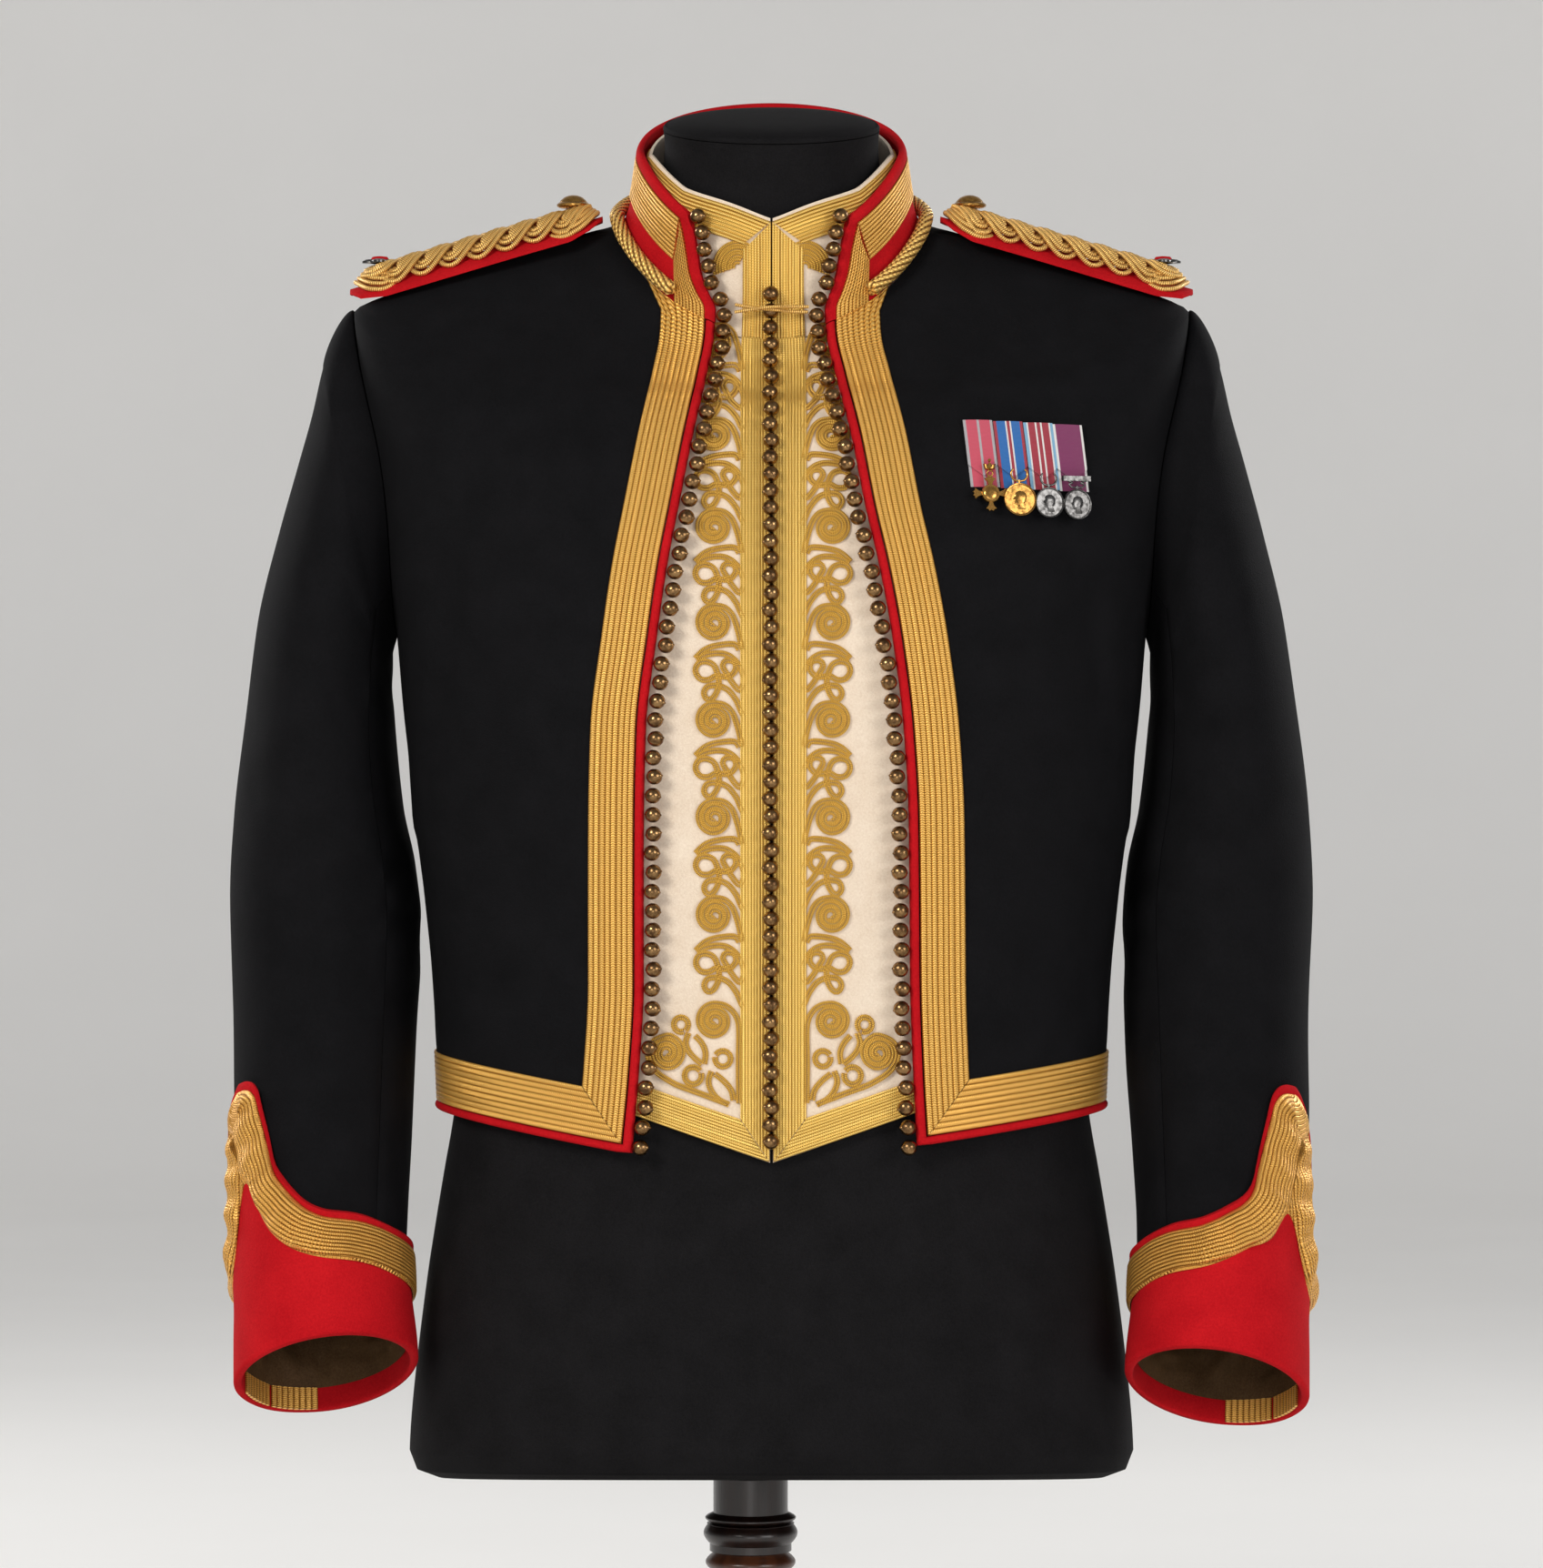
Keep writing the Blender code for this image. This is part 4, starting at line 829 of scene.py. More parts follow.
def front_band(word, side):
    """The lace down a front, cut to a mitre at the hem."""
    t = np.linspace(0, 1, 57)
    up = np.linspace(0, 1, 96)
    low = HEM + HEM_LACE * t
    rows = low[None, :] + (NECK + 0.0002 - low)[None, :] * up[:, None]
    v = rows
    inset = 0.0004 + (FRONT_LACE - 0.0004) * t
    for _ in range(3):
        a = np.stack([edge_turn(v[:, k], side, inset[k]) for k in range(len(t))], 1)
        v = rows + (hem_height(a, side) - HEM) * fade(rows)
    rise = 0.0009 + ribs(t, 11, 0.0003) + 0.0004 * np.exp(-((t - 0.5) / 0.5) ** 8)
    made = Build()
    lace_wall(made, a * side, v, rise, LACE_SEAT, FRONT_LACE * t, v)
    return made.object(f"lace_front_{word}", [LACE], [f"front_lace_{word}"])


def hem_band(word, side):
    """The lace along the hem of a front, mitred at the corner."""
    t = np.linspace(0, 1, 57)
    rows = HEM + HEM_LACE * t
    along = np.linspace(0, 1, 38)
    v = np.repeat(rows[:, None], len(along), 1)
    inset = 0.0008 + (FRONT_LACE - 0.0004) * t
    for _ in range(3):
        start = np.array([edge_turn(v[k, :1], side, inset[k])[0] for k in range(len(t))])
        a = start[:, None] + (HALF_PI - SEAM - start)[:, None] * along
        v = rows[:, None] + (hem_height(a, side) - HEM)
    v = v - 0.0004 * t[:, None]
    rise = 0.0010 + ribs(t, 11, 0.0003)
    made = Build()
    lace_wall(made, a * side, v, rise[:, None], LACE_SEAT, HEM_LACE * t[:, None])
    return made.object(f"lace_hem_{word}", [LACE], [f"hem_lace_{word}"])


def hem_band_back():
    t = np.linspace(0, 1, 57)[:, None]
    a = np.linspace(HALF_PI + SEAM, 3 * HALF_PI - SEAM, 66)[None, :].repeat(len(t), 0)
    v = np.broadcast_to(HEM + (HEM_LACE - 0.0004) * t, a.shape)
    made = Build()
    lace_wall(made, a, v, 0.0010 + ribs(t, 11, 0.0003), LACE_SEAT, HEM_LACE * t)
    return made.object("lace_hem_back", [LACE], ["hem_lace_back"])


def roll(t, height):
    """A rounded welt, t running 0 to 1 across it."""
    return height * np.sqrt(np.clip(1 - (2 * t - 1) ** 2, 0, 1))


def welt(made, a_in, v_in, a_out, v_out, side):
    """Scarlet edging between two lines of turns and heights."""
    t = np.linspace(0, 1, 11)
    a = a_in[:, None] + (a_out - a_in)[:, None] * t
    v = v_in[:, None] + (v_out - v_in)[:, None] * t
    outer = off(a * side, v, np.broadcast_to(-0.0004 + roll(t, 0.0024), a.shape))
    inner = off(a * side, v, np.broadcast_to(-0.0012 - roll(t, 0.0014), a.shape))
    made.shell(outer, inner, np.tile(EDGING * t, (len(a), 1)), lengths(outer, 0))


def front_edging(word, side):
    """The edging down the front edge and on round the hem."""
    v = np.linspace(NECK - 0.0004, HEM + 0.012, 110)
    low = hem_height(edge_turn(np.array([HEM]), side), side)[0]
    v = np.concatenate([v, np.linspace(HEM + 0.010, low - 0.0004, 10)])
    a_in = edge_turn(v, side, 0.0)
    a_out = edge_turn(v, side, -EDGING)
    v_out = v.copy()
    v_out[-10:] -= (EDGING - 0.0004) * np.linspace(0.1, 1, 10) ** 2
    turns = np.linspace(a_in[-1], HALF_PI - SEAM, 70)[1:]
    hem = hem_height(turns, side)
    made = Build()
    welt(made, np.concatenate([a_in, turns]), np.concatenate([v, hem - 0.0004]),
         np.concatenate([a_out, turns]), np.concatenate([v_out, hem - EDGING]), side)
    return made.object(f"edging_{word}", [SCARLET], [f"jacket_edging_{word}"])


def back_edging():
    turns = np.linspace(HALF_PI + SEAM, 3 * HALF_PI - SEAM, 120)
    made = Build()
    level = np.full(turns.shape, HEM)
    welt(made, turns, level - 0.0004, turns, level - EDGING, 1)
    return made.object("edging_back", [SCARLET], ["jacket_edging_back"])


# --- sleeves and cuffs -------------------------------------------------------------
# folds of a sleeve: degrees round and distance from the rim of both ends, width, depth
SLEEVE_FOLDS = (
    (30, 0.300, 105, 0.262, 0.010, -0.0032),
    (15, 0.268, 95, 0.236, 0.009, -0.0024),
    (50, 0.338, 135, 0.318, 0.013, -0.0018),
    (20, 0.215, 100, 0.198, 0.010, -0.0016),
    (75, 0.388, 20, 0.440, 0.012, -0.0030),
    (105, 0.425, 60, 0.458, 0.010, -0.0022),
    (195, 0.290, 260, 0.262, 0.012, -0.0022),
    (160, 0.150, 90, 0.168, 0.013, -0.0014),
    (300, 0.282, 350, 0.252, 0.012, -0.0026),
    (270, 0.330, 330, 0.300, 0.013, 0.0016),
    (290, 0.395, 345, 0.440, 0.012, -0.0026),
    (230, 0.180, 310, 0.200, 0.014, -0.0016),
    (120, 0.110, 60, 0.132, 0.011, -0.0012),
)
ARM_WIDE = 0.058             # the sleeve's mean radius, which turns degrees into lengths


def sleeve_shape(ang, d, side):
    """How far a sleeve's cloth stands out from its plain form."""
    total = 0.0
    for a0, d0, a1, d1, width, depth in SLEEVE_FOLDS:
        mid = math.radians((a0 + a1) / 2)
        turn = (ang - mid + math.pi) % (2 * math.pi) - math.pi
        half = math.radians(a1 - a0) / 2
        grow = 0.8 if side > 0 else 1.0
        total = total + creases(turn * ARM_WIDE, d + 0.006 * side,
                                ((-half * ARM_WIDE, d0, half * ARM_WIDE, d1, width, depth * grow),))
    return total + 0.0009 * ripple(ang * ARM_WIDE, d, 0.13, 0.8 * side)


def sleeve(word, side, piece, start):
    """Half a sleeve, from the armhole to under the cuff."""
    ang = np.linspace(start * math.pi / 8, (start + 8) * math.pi / 8, 42)
    ang[0] += 0.0035
    ang[-1] -= 0.0035
    d = np.linspace(0.491, 0.050, 104)
    grid_a, grid_d = np.meshgrid(ang, d)
    edge = np.clip(np.minimum(ang - ang[0], ang[-1] - ang) / 0.10, 0, 1)
    seam = -0.0007 * np.exp(-(np.minimum(ang - ang[0], ang[-1] - ang) / 0.03) ** 2)
    quiet = np.clip((0.491 - grid_d) / 0.03, 0, 1) * np.clip((grid_d - 0.05) / 0.05, 0, 1)
    shape = sleeve_shape(grid_a, grid_d, side) * quiet * edge + seam
    head = np.linspace(0, 1, 16)[:-1]
    outer, inner = [], []
    for s in head:
        swell = 0.0045 * math.sin(math.pi * s) * np.clip(-np.cos(ang), 0, 1)
        near = arm(ang, 0.491 + 0.006 * (1 - s), 0.0, side)
        near_in = arm(ang, 0.491 + 0.006 * (1 - s), -CLOTH, side)
        ease = s * s * (3 - 2 * s)
        up = np.array([0.35 * side, 0.0, 1.0]) * swell[:, None]
        outer.append(arm_start(ang, side, 0.0) * (1 - ease) + near * ease + up)
        inner.append(arm_start(ang, side, CLOTH) * (1 - ease) + near_in * ease + up)
    outer = np.concatenate([np.array(outer), arm(grid_a, grid_d, shape, side)])
    inner = np.concatenate([np.array(inner), arm(grid_a, grid_d, shape - CLOTH, side)])
    made = Build()
    made.shell(outer, inner, lengths(outer, 1), lengths(outer, 0))
    return made.object(f"{piece}_{word}", [BLACK], [f"{piece}_sleeve_{word}"])


def sleeve_lining(word, side):
    """The crumpled lining seen inside the cuff."""
    ang = np.linspace(0, 2 * math.pi, 90, endpoint=False)
    d = np.linspace(0.0125, 0.125, 40)
    grid_a, grid_d = np.meshgrid(ang, d)
    x, y = np.cos(grid_a) * 0.05, np.sin(grid_a) * 0.05
    fold = (ripple(x * 1.4 + 0.3 * grid_d, y + 0.5 * grid_d, 0.021, side)
            + 0.6 * ripple(y - 0.4 * grid_d, x + grid_d, 0.013, 2.0))
    rise = np.clip((grid_d - 0.0125) / 0.012, 0, 1)
    depth = -0.0028 - 0.0016 * rise * (1.4 + fold)
    outer = arm(grid_a, grid_d, depth, side)
    inner = arm(grid_a, grid_d, depth - 0.0006, side)
    made = Build()
    u = np.tile(np.linspace(0, 0.3, len(ang) + 1), (len(d), 1))
    made.shell(outer, inner, u, np.repeat(d[:, None], len(ang) + 1, 1), wrap=True)
    return made.object(f"lining_{word}", [LINING], [f"sleeve_lining_{word}"])


CUFF_WIDE = 0.056            # the cuff's mean radius, which turns degrees into lengths
STRIP_WIDE = 0.0250          # width of the cuff's lace


def cuff_ring(count, side):
    """Ring angles, closest together at the tongue, with the cuff's top and the lace's low edge."""
    t = np.linspace(-1, 1, count, endpoint=False)
    away = 180 * np.sign(t) * np.abs(t) ** 1.6
    ang = np.radians(TONGUE[side] + away)
    top = column(CUFF, 1, away) - 0.004 * side * np.exp(-((away + 30) / 14) ** 2)
    low = column(CUFF, 2, away) - 0.009 * side * np.exp(-((away + 10) / 14) ** 2)
    return ang, away, top, low


def cuff_shape(ang, d):
    """Small unevenness of the stiff cuff cloth."""
    return 0.0005 * ripple(np.cos(ang) * 0.05, np.sin(ang) * 0.05 + d, 0.06, 0.6)


def cuff(word, side):
    ang, _, top, _ = cuff_ring(150, side)
    s = np.concatenate([[0.0, 0.004, 0.010], np.linspace(0.02, 1, 45)])[:, None]
    d = s * top[None, :]
    grid_a = np.broadcast_to(ang, d.shape)
    to_edge = top[None, :] - d
    lip = roll(np.clip(to_edge / EDGING, 0, 1), 0.0016)
    rim = -0.0012 * np.clip(1 - d / 0.0016, 0, 1) ** 2
    outer = arm(grid_a, d, 0.0024 + lip + rim + cuff_shape(grid_a, d), side)
    inner = arm(grid_a, d, np.where(d < 0.0218, -0.0020 - rim * 0.6, 0.0007), side)
    made = Build()
    u = np.tile(np.linspace(0, 0.26, len(ang) + 1), (len(s), 1))
    made.shell(outer, inner, u, np.concatenate([d, d[:, :1]], 1), wrap=True)
    return made.object(f"cuff_cloth_{word}", [SCARLET], [f"cuff_{word}"])


def line_places(x, y, line):
    """Distance of points from a line of points, and how far along it each one lies."""
    steps = np.linalg.norm(np.diff(line, axis=0), axis=1)
    along = np.concatenate([[0.0], np.cumsum(steps)])
    gap = np.hypot(x[..., None] - line[:, 0], y[..., None] - line[:, 1])
    near = np.argmin(gap, axis=-1)
    return np.min(gap, axis=-1), along[near]


def cuff_lace(word, side):
    """The puffed lace that follows the cuff's top edge, and its ends inside the rim."""
    ang, away, top, low = cuff_ring(220, side)
    t = np.linspace(0, 1, 59)[:, None]
    high = top - EDGING
    d = low[None, :] + (high - low)[None, :] * t
    grid_a = np.broadcast_to(ang, d.shape)
    wide = np.broadcast_to(np.radians(away) * CUFF_WIDE, d.shape)
    fine = np.linspace(-180, 180, 1400)
    edge = np.stack([np.radians(fine) * CUFF_WIDE, np.interp(fine, away, high)], 1)
    ahead = line_places(wide, d, edge[fine < -1.0])
    behind = line_places(wide, d, edge[fine > 1.0])
    on_front = ahead[0] < STRIP_WIDE
    reach = np.where(on_front, ahead[0], behind[0])
    length = np.where(on_front, ahead[1], behind[1] + 0.5)
    share = np.clip(reach / STRIP_WIDE, 0, 1)
    beat = np.where(on_front, 0.62 + 0.22 * np.sin(length * 330), 0.60 + 0.36 * np.sin(length * 390))
    quiet = np.clip((away[None, :] + 78) / 34, 0, 1) * np.clip((150 - away[None, :]) / 40, 0, 1)
    wrinkle = 0.0006 * np.sin(away * 1.1 + 2.2 * t) * np.exp(-((away + 44) / 9.0) ** 2) * np.sin(math.pi * t)
    seat = np.minimum(1, np.minimum(t, 1 - t) / 0.08)
    puff = (0.0006 + 0.0040 * np.sin(math.pi * share) ** 0.7 * beat * (0.2 + 0.8 * quiet)) * seat + wrinkle
    rows = 0.0005 * np.abs(np.sin(math.pi * reach * 410)) ** 0.6 * seat
    outer = arm(grid_a, d, 0.0031 + puff + rows + 0.0005 * on_front * seat, side)
    inner = arm(grid_a, d, 0.0026 + 0.8 * puff, side)
    made = Build()
    close = [(g, g[:, :1]) for g in (reach, length)]
    made.shell(outer, inner, *[np.concatenate(pair, 1) for pair in close], wrap=True)
    for a0, a1 in ((190, 222), (224, 260)):
        ang = np.radians(np.linspace(a0, a1, 24))
        d = np.linspace(0.0002, 0.0128, 10)
        grid_a, grid_d = np.meshgrid(ang, d)
        t = np.linspace(0, 1, len(ang))[None, :]
        outer = arm(grid_a, grid_d, -0.0031 - 0.0006 * np.sin(math.pi * t) - ribs(t, 8, 0.0002), side)
        inner = arm(grid_a, grid_d, np.full(grid_a.shape, -0.0022), side)
        made.shell(outer, inner, np.tile(0.0195 * t, (len(d), 1)), grid_d)
    return made.object(f"lace_cuff_{word}", [CUFF_LACE], [f"cuff_lace_{word}"])


# --- the jacket's collar -----------------------------------------------------------
def collar_turns(v, cols, more):
    """Turns round the back from the right front edge to the left one."""
    left = edge_turn(v, 1, more)
    right = edge_turn(v, -1, more)
    return left[:, None] + (2 * math.pi - right - left)[:, None] * np.linspace(0, 1, cols)[None, :]


def jacket_collar():
    v = np.concatenate([np.linspace(NECK + 0.0004, COLLAR_TOP - 0.006, 22),
                        np.linspace(COLLAR_TOP - 0.0055, COLLAR_TOP, 12)])
    columns = 150
    a = collar_turns(v, columns, -EDGING)
    grid_v = np.repeat(v[:, None], columns, 1)
    to_top = COLLAR_TOP - grid_v
    edge = np.minimum(np.arange(columns), np.arange(columns)[::-1])[None, :] / 2.2
    welt_in = np.maximum(roll(np.clip(to_top / 0.0055, 0, 1), 0.0016),
                         roll(np.clip(edge, 0, 1) * 0.999, 0.0014))
    outer = off(a, grid_v, welt_in)
    inner = off(a, grid_v, -CLOTH - 0.6 * welt_in)
    made = Build()
    made.shell(outer, inner, lengths(outer, 1), grid_v)
    return made.object("collar_cloth", [SCARLET], ["jacket_collar"])


def collar_lace():
    """The lace round the collar and the strips down its two front edges, mitred at the corners."""
    made = Build()
    low, high = 0.9435, COLLAR_TOP - 0.0052
    t = np.linspace(0, 1, 49)
    v = low + (high - low) * t
    ends = []
    for _, side in SIDES:
        start = edge_turn(np.array([high]), side, 0.0)[0]
        corner = turn_at(0.0525, np.array([low]))[0]
        ends.append(corner + (start - corner) * t + 0.004)
    a = ends[0][:, None] + (2 * math.pi - ends[1] - ends[0])[:, None] * np.linspace(0, 1, 110)[None, :]
    grid_v = np.repeat(v[:, None], a.shape[1], 1)
    lace_wall(made, a, grid_v, (0.0012 + ribs(t, 10, 0.0004))[:, None], LACE_SEAT, 0.0305 * t[:, None])
    up = np.linspace(0, 1, 36)
    for _, side in SIDES:
        grid_t = np.tile(t, (len(up), 1))
        top = high - (high - low) * grid_t
        grid_v = NECK + 0.0003 + (top - NECK - 0.0008) * up[:, None]
        a0 = edge_turn(grid_v, side, 0.0004)
        a1 = turn_at(0.0525, grid_v) - 0.002
        a = a0 + (a1 - a0) * grid_t
        dip = 0.0012 + ribs(grid_t, 9, 0.0004) + 0.0016 * np.sin(math.pi * grid_t)
        lace_wall(made, a * side, grid_v, dip, LACE_SEAT, 0.0274 * grid_t, grid_v)
    return made.object("lace_collar", [LACE], ["collar_lace"])


def twisted(made, path, normal, radius, strands, pitch, around, share=0.52):
    """A rope of strands laid round one another along a path."""
    along = np.concatenate([[0.0], np.cumsum(np.linalg.norm(np.diff(path, axis=0), axis=1))])
    ahead = unit(np.gradient(path, axis=0))
    side_way = unit(np.cross(ahead, normal))
    out = np.cross(side_way, ahead)
    thick = radius * share
    for k in range(strands):
        w = 2 * math.pi * (along / pitch + k / strands)
        middle = path + (radius - thick) * (np.cos(w)[:, None] * out + np.sin(w)[:, None] * side_way)
        made.tube(rope_rings(middle, thick, around, normal), along)


def collar_cord():
    """The twisted cord at the foot of the collar."""
    a = np.linspace(math.radians(40), math.radians(320), 520)
    v = np.full(a.shape, NECK + 0.0050)
    made = Build()
    twisted(made, off(a, v, 0.0046), face_normal(a, v), 0.0043, 3, 0.0080, 8, 0.44)
    return made.object("cord_collar", [ROPE], ["collar_cord"])


# --- the waistcoat -----------------------------------------------------------------
W_TOP = 0.902
W_SEAM = 0.014               # half the turn left open at the waistcoat's seams
W_ARM = 0.655
W_LIFT = 0.462               # side height of the waistcoat's lower edge
W_BAND = 0.0176              # height of the lace along the waistcoat's lower edge
ARM_X = ((0.0, 0.2012), (0.06, 0.186), (0.2, 0.172), (0.4, 0.162), (0.7, 0.157), (1.0, 0.160))
STRIPS = {1: (0.0009, 0.0186), -1: (0.0009, 0.0166)}    # the lace strips beside the middle
W_FALL = ((0.462, 1.0), (0.480, 1.0), (0.525, 0.6), (0.565, 0.2), (0.610, 0.0))


def waist_out(rows):
    """Turn of the waistcoat's outer boundary on the front."""
    t = np.clip((rows - W_ARM) / (W_TOP - W_ARM), 0, 1)
    inside = (rows > W_ARM) & (rows < W_TOP - 1e-6)
    return np.where(inside, turn_at(column(ARM_X, 1, t), rows), HALF_PI)


def waist_hem(x):
    """The waistcoat's lower edge, pointed at the middle."""
    x = np.abs(x)
    return np.where(x < 0.08, 0.4190 + 0.0270 * x / 0.08, 0.446 + 0.016 * np.clip((x - 0.08) / 0.09, 0, 1))


def waist_height(x, row):
    """Side height of a row of the waistcoat at x, keeping to the fall of its lower edge."""
    fall = np.interp(row, [f[0] for f in W_FALL], [f[1] for f in W_FALL])
    return row + (waist_hem(x) - W_LIFT) * fall


def waistcoat_front(word, side):
    rows = np.linspace(W_LIFT, NECK - 0.0020, 110)
    start = turn_at(np.full(rows.shape, 0.0008), rows)
    end = waist_out(rows) - W_SEAM
    share = np.linspace(0, 1, 40) ** 1.15
    a = start[:, None] + (end - start)[:, None] * share
    x = skin(a, rows[:, None])[..., 0]
    v = waist_height(x, np.broadcast_to(rows[:, None], x.shape))
    sag = -0.0003 + 0.0004 * ripple(x, v, 0.07, side)
    outer = off(a * side, v, WAISTCOAT + sag * np.clip((x - 0.03) / 0.02, 0, 1))
    inner = off(a * side, v, np.full(a.shape, WAISTCOAT - 0.0016))
    made = Build()
    made.shell(outer, inner, lengths(outer, 1), v)
    return made.object(f"waistcoat_{word}", [CREAM], [f"waistcoat_front_{word}"])


def waistcoat_back():
    rows = np.linspace(W_LIFT, NECK - 0.0020, 90)
    lead = math.pi - waist_out(rows) + W_SEAM
    a = lead[:, None] + (2 * math.pi - 2 * lead)[:, None] * np.linspace(0, 1, 52)[None, :]
    v = np.repeat(rows[:, None], a.shape[1], 1)
    shape = 0.0005 * ripple(a * 0.15, v, 0.08)
    outer = off(a, v, WAISTCOAT - 0.0003 + shape)
    inner = off(a, v, WAISTCOAT - 0.0018 + shape)
    made = Build()
    made.shell(outer, inner, lengths(outer, 1), v)
    return made.object("waistcoat_back_cloth", [CREAM], ["waistcoat_back"])


def waistcoat_laces(word, side):
    """The strip beside the middle and the band along the lower edge, mitred at the point."""
    near, far = STRIPS[side]
    t = np.linspace(0, 1, 41)
    x = near + (far - near) * t
    foot = W_LIFT + 0.0004 + W_BAND * t
    rows = foot[None, :] + (NECK - 0.0015 - foot)[None, :] * np.linspace(0, 1, 104)[:, None]
    grid_x = np.tile(x, (len(rows), 1))
    v = waist_height(grid_x, rows)
    rise = WAISTCOAT + 0.0010 + ribs(t, 9, 0.0004)
    strip = Build()
    lace_wall(strip, turn_at(grid_x, v) * side, v, rise, WAISTCOAT + LACE_SEAT, grid_x - near, v)
    first = strip.object(f"lace_centre_{word}", [FINE_LACE], [f"waistcoat_centre_lace_{word}"])
    t = np.linspace(0, 1, 41)[:, None]
    start = near + (far - near) * t + 0.0003
    grid_x = start + (0.0900 - start) * np.linspace(0, 1, 60)[None, :]
    v = waist_height(grid_x, np.broadcast_to(W_LIFT + 0.0002 + W_BAND * t, grid_x.shape))
    rise = WAISTCOAT + 0.0010 + ribs(t, 9, 0.0004)
    band = Build()
    lace_wall(band, turn_at(grid_x, v) * side, v, rise, WAISTCOAT + LACE_SEAT, W_BAND * t, grid_x)
    second = band.object(f"lace_point_{word}", [FINE_LACE], [f"waistcoat_hem_lace_{word}"])
    return [first, second]


def collar_rise(a):
    """Height of the waistcoat collar above its seam."""
    point = 0.0042 * np.sin(math.pi * np.minimum(np.abs(np.sin(a)) / 0.72, 1)) * (np.cos(a) > 0)
    return 0.0500 - np.minimum(0.0250 * np.sin(a / 2) ** 2, 0.0130) + point


def waistcoat_collar():
    a = np.linspace(0.010, 2 * math.pi - 0.010, 130)[None, :]
    t = np.linspace(0, 1, 30)[:, None]
    v = NECK - 0.0014 + (collar_rise(a) + 0.0044) * t
    a = np.broadcast_to(a, v.shape)
    lip = roll(np.clip((1 - t) * 14, 0, 1), 0.0007)
    outer = off(a, v, WAISTCOAT + lip)
    inner = off(a, v, WAISTCOAT - 0.0014 - lip)
    made = Build()
    made.shell(outer, inner, lengths(outer, 1), v)
    return made.object("waistcoat_collar_cloth", [CREAM], ["waistcoat_collar"])


def waistcoat_collar_lace():
    """Lace under the rim of the waistcoat's collar, mitred with two upright strips beside the middle."""
    made = Build()
    for _, side in SIDES:
        near, far = STRIPS[side]
        t = np.linspace(0, 1, 49)
        rise = WAISTCOAT + 0.0012 + ribs(t, 8, 0.0005)
        top = collar_rise(0.0) - 0.0016
        x = near * 0.4 + (far - near * 0.4) * t
        head = top - 0.0150 * t
        v = NECK - 0.0013 + (head + 0.0044)[None, :] * np.linspace(0, 1, 30)[:, None]
        grid_x = np.tile(x, (len(v), 1))
        lace_wall(made, turn_at(grid_x, v) * side, v, rise, WAISTCOAT + LACE_SEAT, grid_x, v)
        t = t[:, None]
        start = turn_at(far + (near * 0.4 - far) * t, NECK + 0.0031 + top - 0.0150 * (1 - t)) + 0.0008
        a = start + (1.75 - start) * np.linspace(0, 1, 60)[None, :]
        v = NECK + 0.0031 + collar_rise(a) - 0.0016 - 0.0155 * (1 - t)
        lace_wall(made, a * side, v, rise[:, None], WAISTCOAT + LACE_SEAT, 0.0150 * t)
        for r in (13.0, 9.7, 6.4, 3.1):
            w = np.radians(np.linspace(62, 196, 14))
            arc = np.stack([r * np.cos(w), r * np.sin(w)], 1)
            stroke(made, arc, (0.0196, 0.8985), side, mark=1)
    return made.object("lace_waistcoat_collar", [FINE_LACE, BRAID], ["waistcoat_collar_lace"])


# --- braid on the waistcoat --------------------------------------------------------
# strokes in millimetres from a spiral's middle: toward the middle of the chest, and up
SPIRAL_TAIL = ((5.5, 8.3), (9.5, 4.5), (12.0, -2.0), (13.6, -8.0), (14.8, -14.0))
UPPER_LEAF = ((-10.1, -18.8), (-5.0, -14.2), (1.4, -11.9), (10.6, -11.2), (13.3, -14.2))
LOWER_LEAF = (
    (-9.5, -19.4), (-3.0, -16.6), (5.0, -16.2), (11.0, -19.5), (14.9, -26.0), (15.5, -32.0), (13.5, -35.5),
    (10.0, -32.0), (6.5, -26.5), (4.5, -22.5), (6.5, -19.8), (10.5, -20.5), (11.6, -24.0), (9.5, -27.3),
    (6.0, -28.5), (1.0, -28.0), (-3.0, -30.0), (-7.5, -29.5), (-10.0, -25.5), (-8.5, -21.5), (-4.5, -20.3),
    (-0.5, -22.0), (1.5, -26.0), (2.5, -30.0), (2.0, -35.0), (-0.5, -39.5), (-3.5, -40.5), (-5.5, -37.5),
    (-4.0, -34.0), (-0.5, -33.0), (3.5, -33.5), (7.5, -35.5), (11.5, -40.5), (14.0, -46.0), (16.0, -50.0),
)
# the corner's strokes: the upper spiral's tail, the lower spiral's sweep and two leaves
CORNER_TAIL = ((5.5, 8.3), (9.6, 5.4), (12.4, 0.5), (13.2, -6.0), (13.0, -22.0), (13.2, -43.5))
CORNER_SWEEP = ((-7.2, 6.2), (-10.3, 0.6), (-9.2, -5.5), (-5.0, -10.8), (0.9, -14.6), (6.0, -17.2),
                (13.4, -19.8), (22.8, -23.2), (32.4, -26.8))
CORNER_LEAVES = (
    ((-14.0, -6.4), (-15.4, -11.6), (-13.6, -16.4), (-10.0, -20.2), (-6.6, -22.8)),
    ((-10.4, -7.8), (-6.8, -11.8), (-4.8, -17.0), (-5.4, -22.8)),
    ((-1.6, -26.6), (-3.2, -31.6), (-2.0, -36.4), (1.8, -41.2), (7.8, -44.4)),
    ((0.2, -28.0), (4.8, -31.6), (8.8, -36.4), (10.2, -42.0)),
)
BRAID_X = {1: 0.0319, -1: 0.0305}
BRAID_TOP = 0.860
BRAID_STEP = 0.0516
THREAD = 0.00082             # radius of one of the braid's two cords


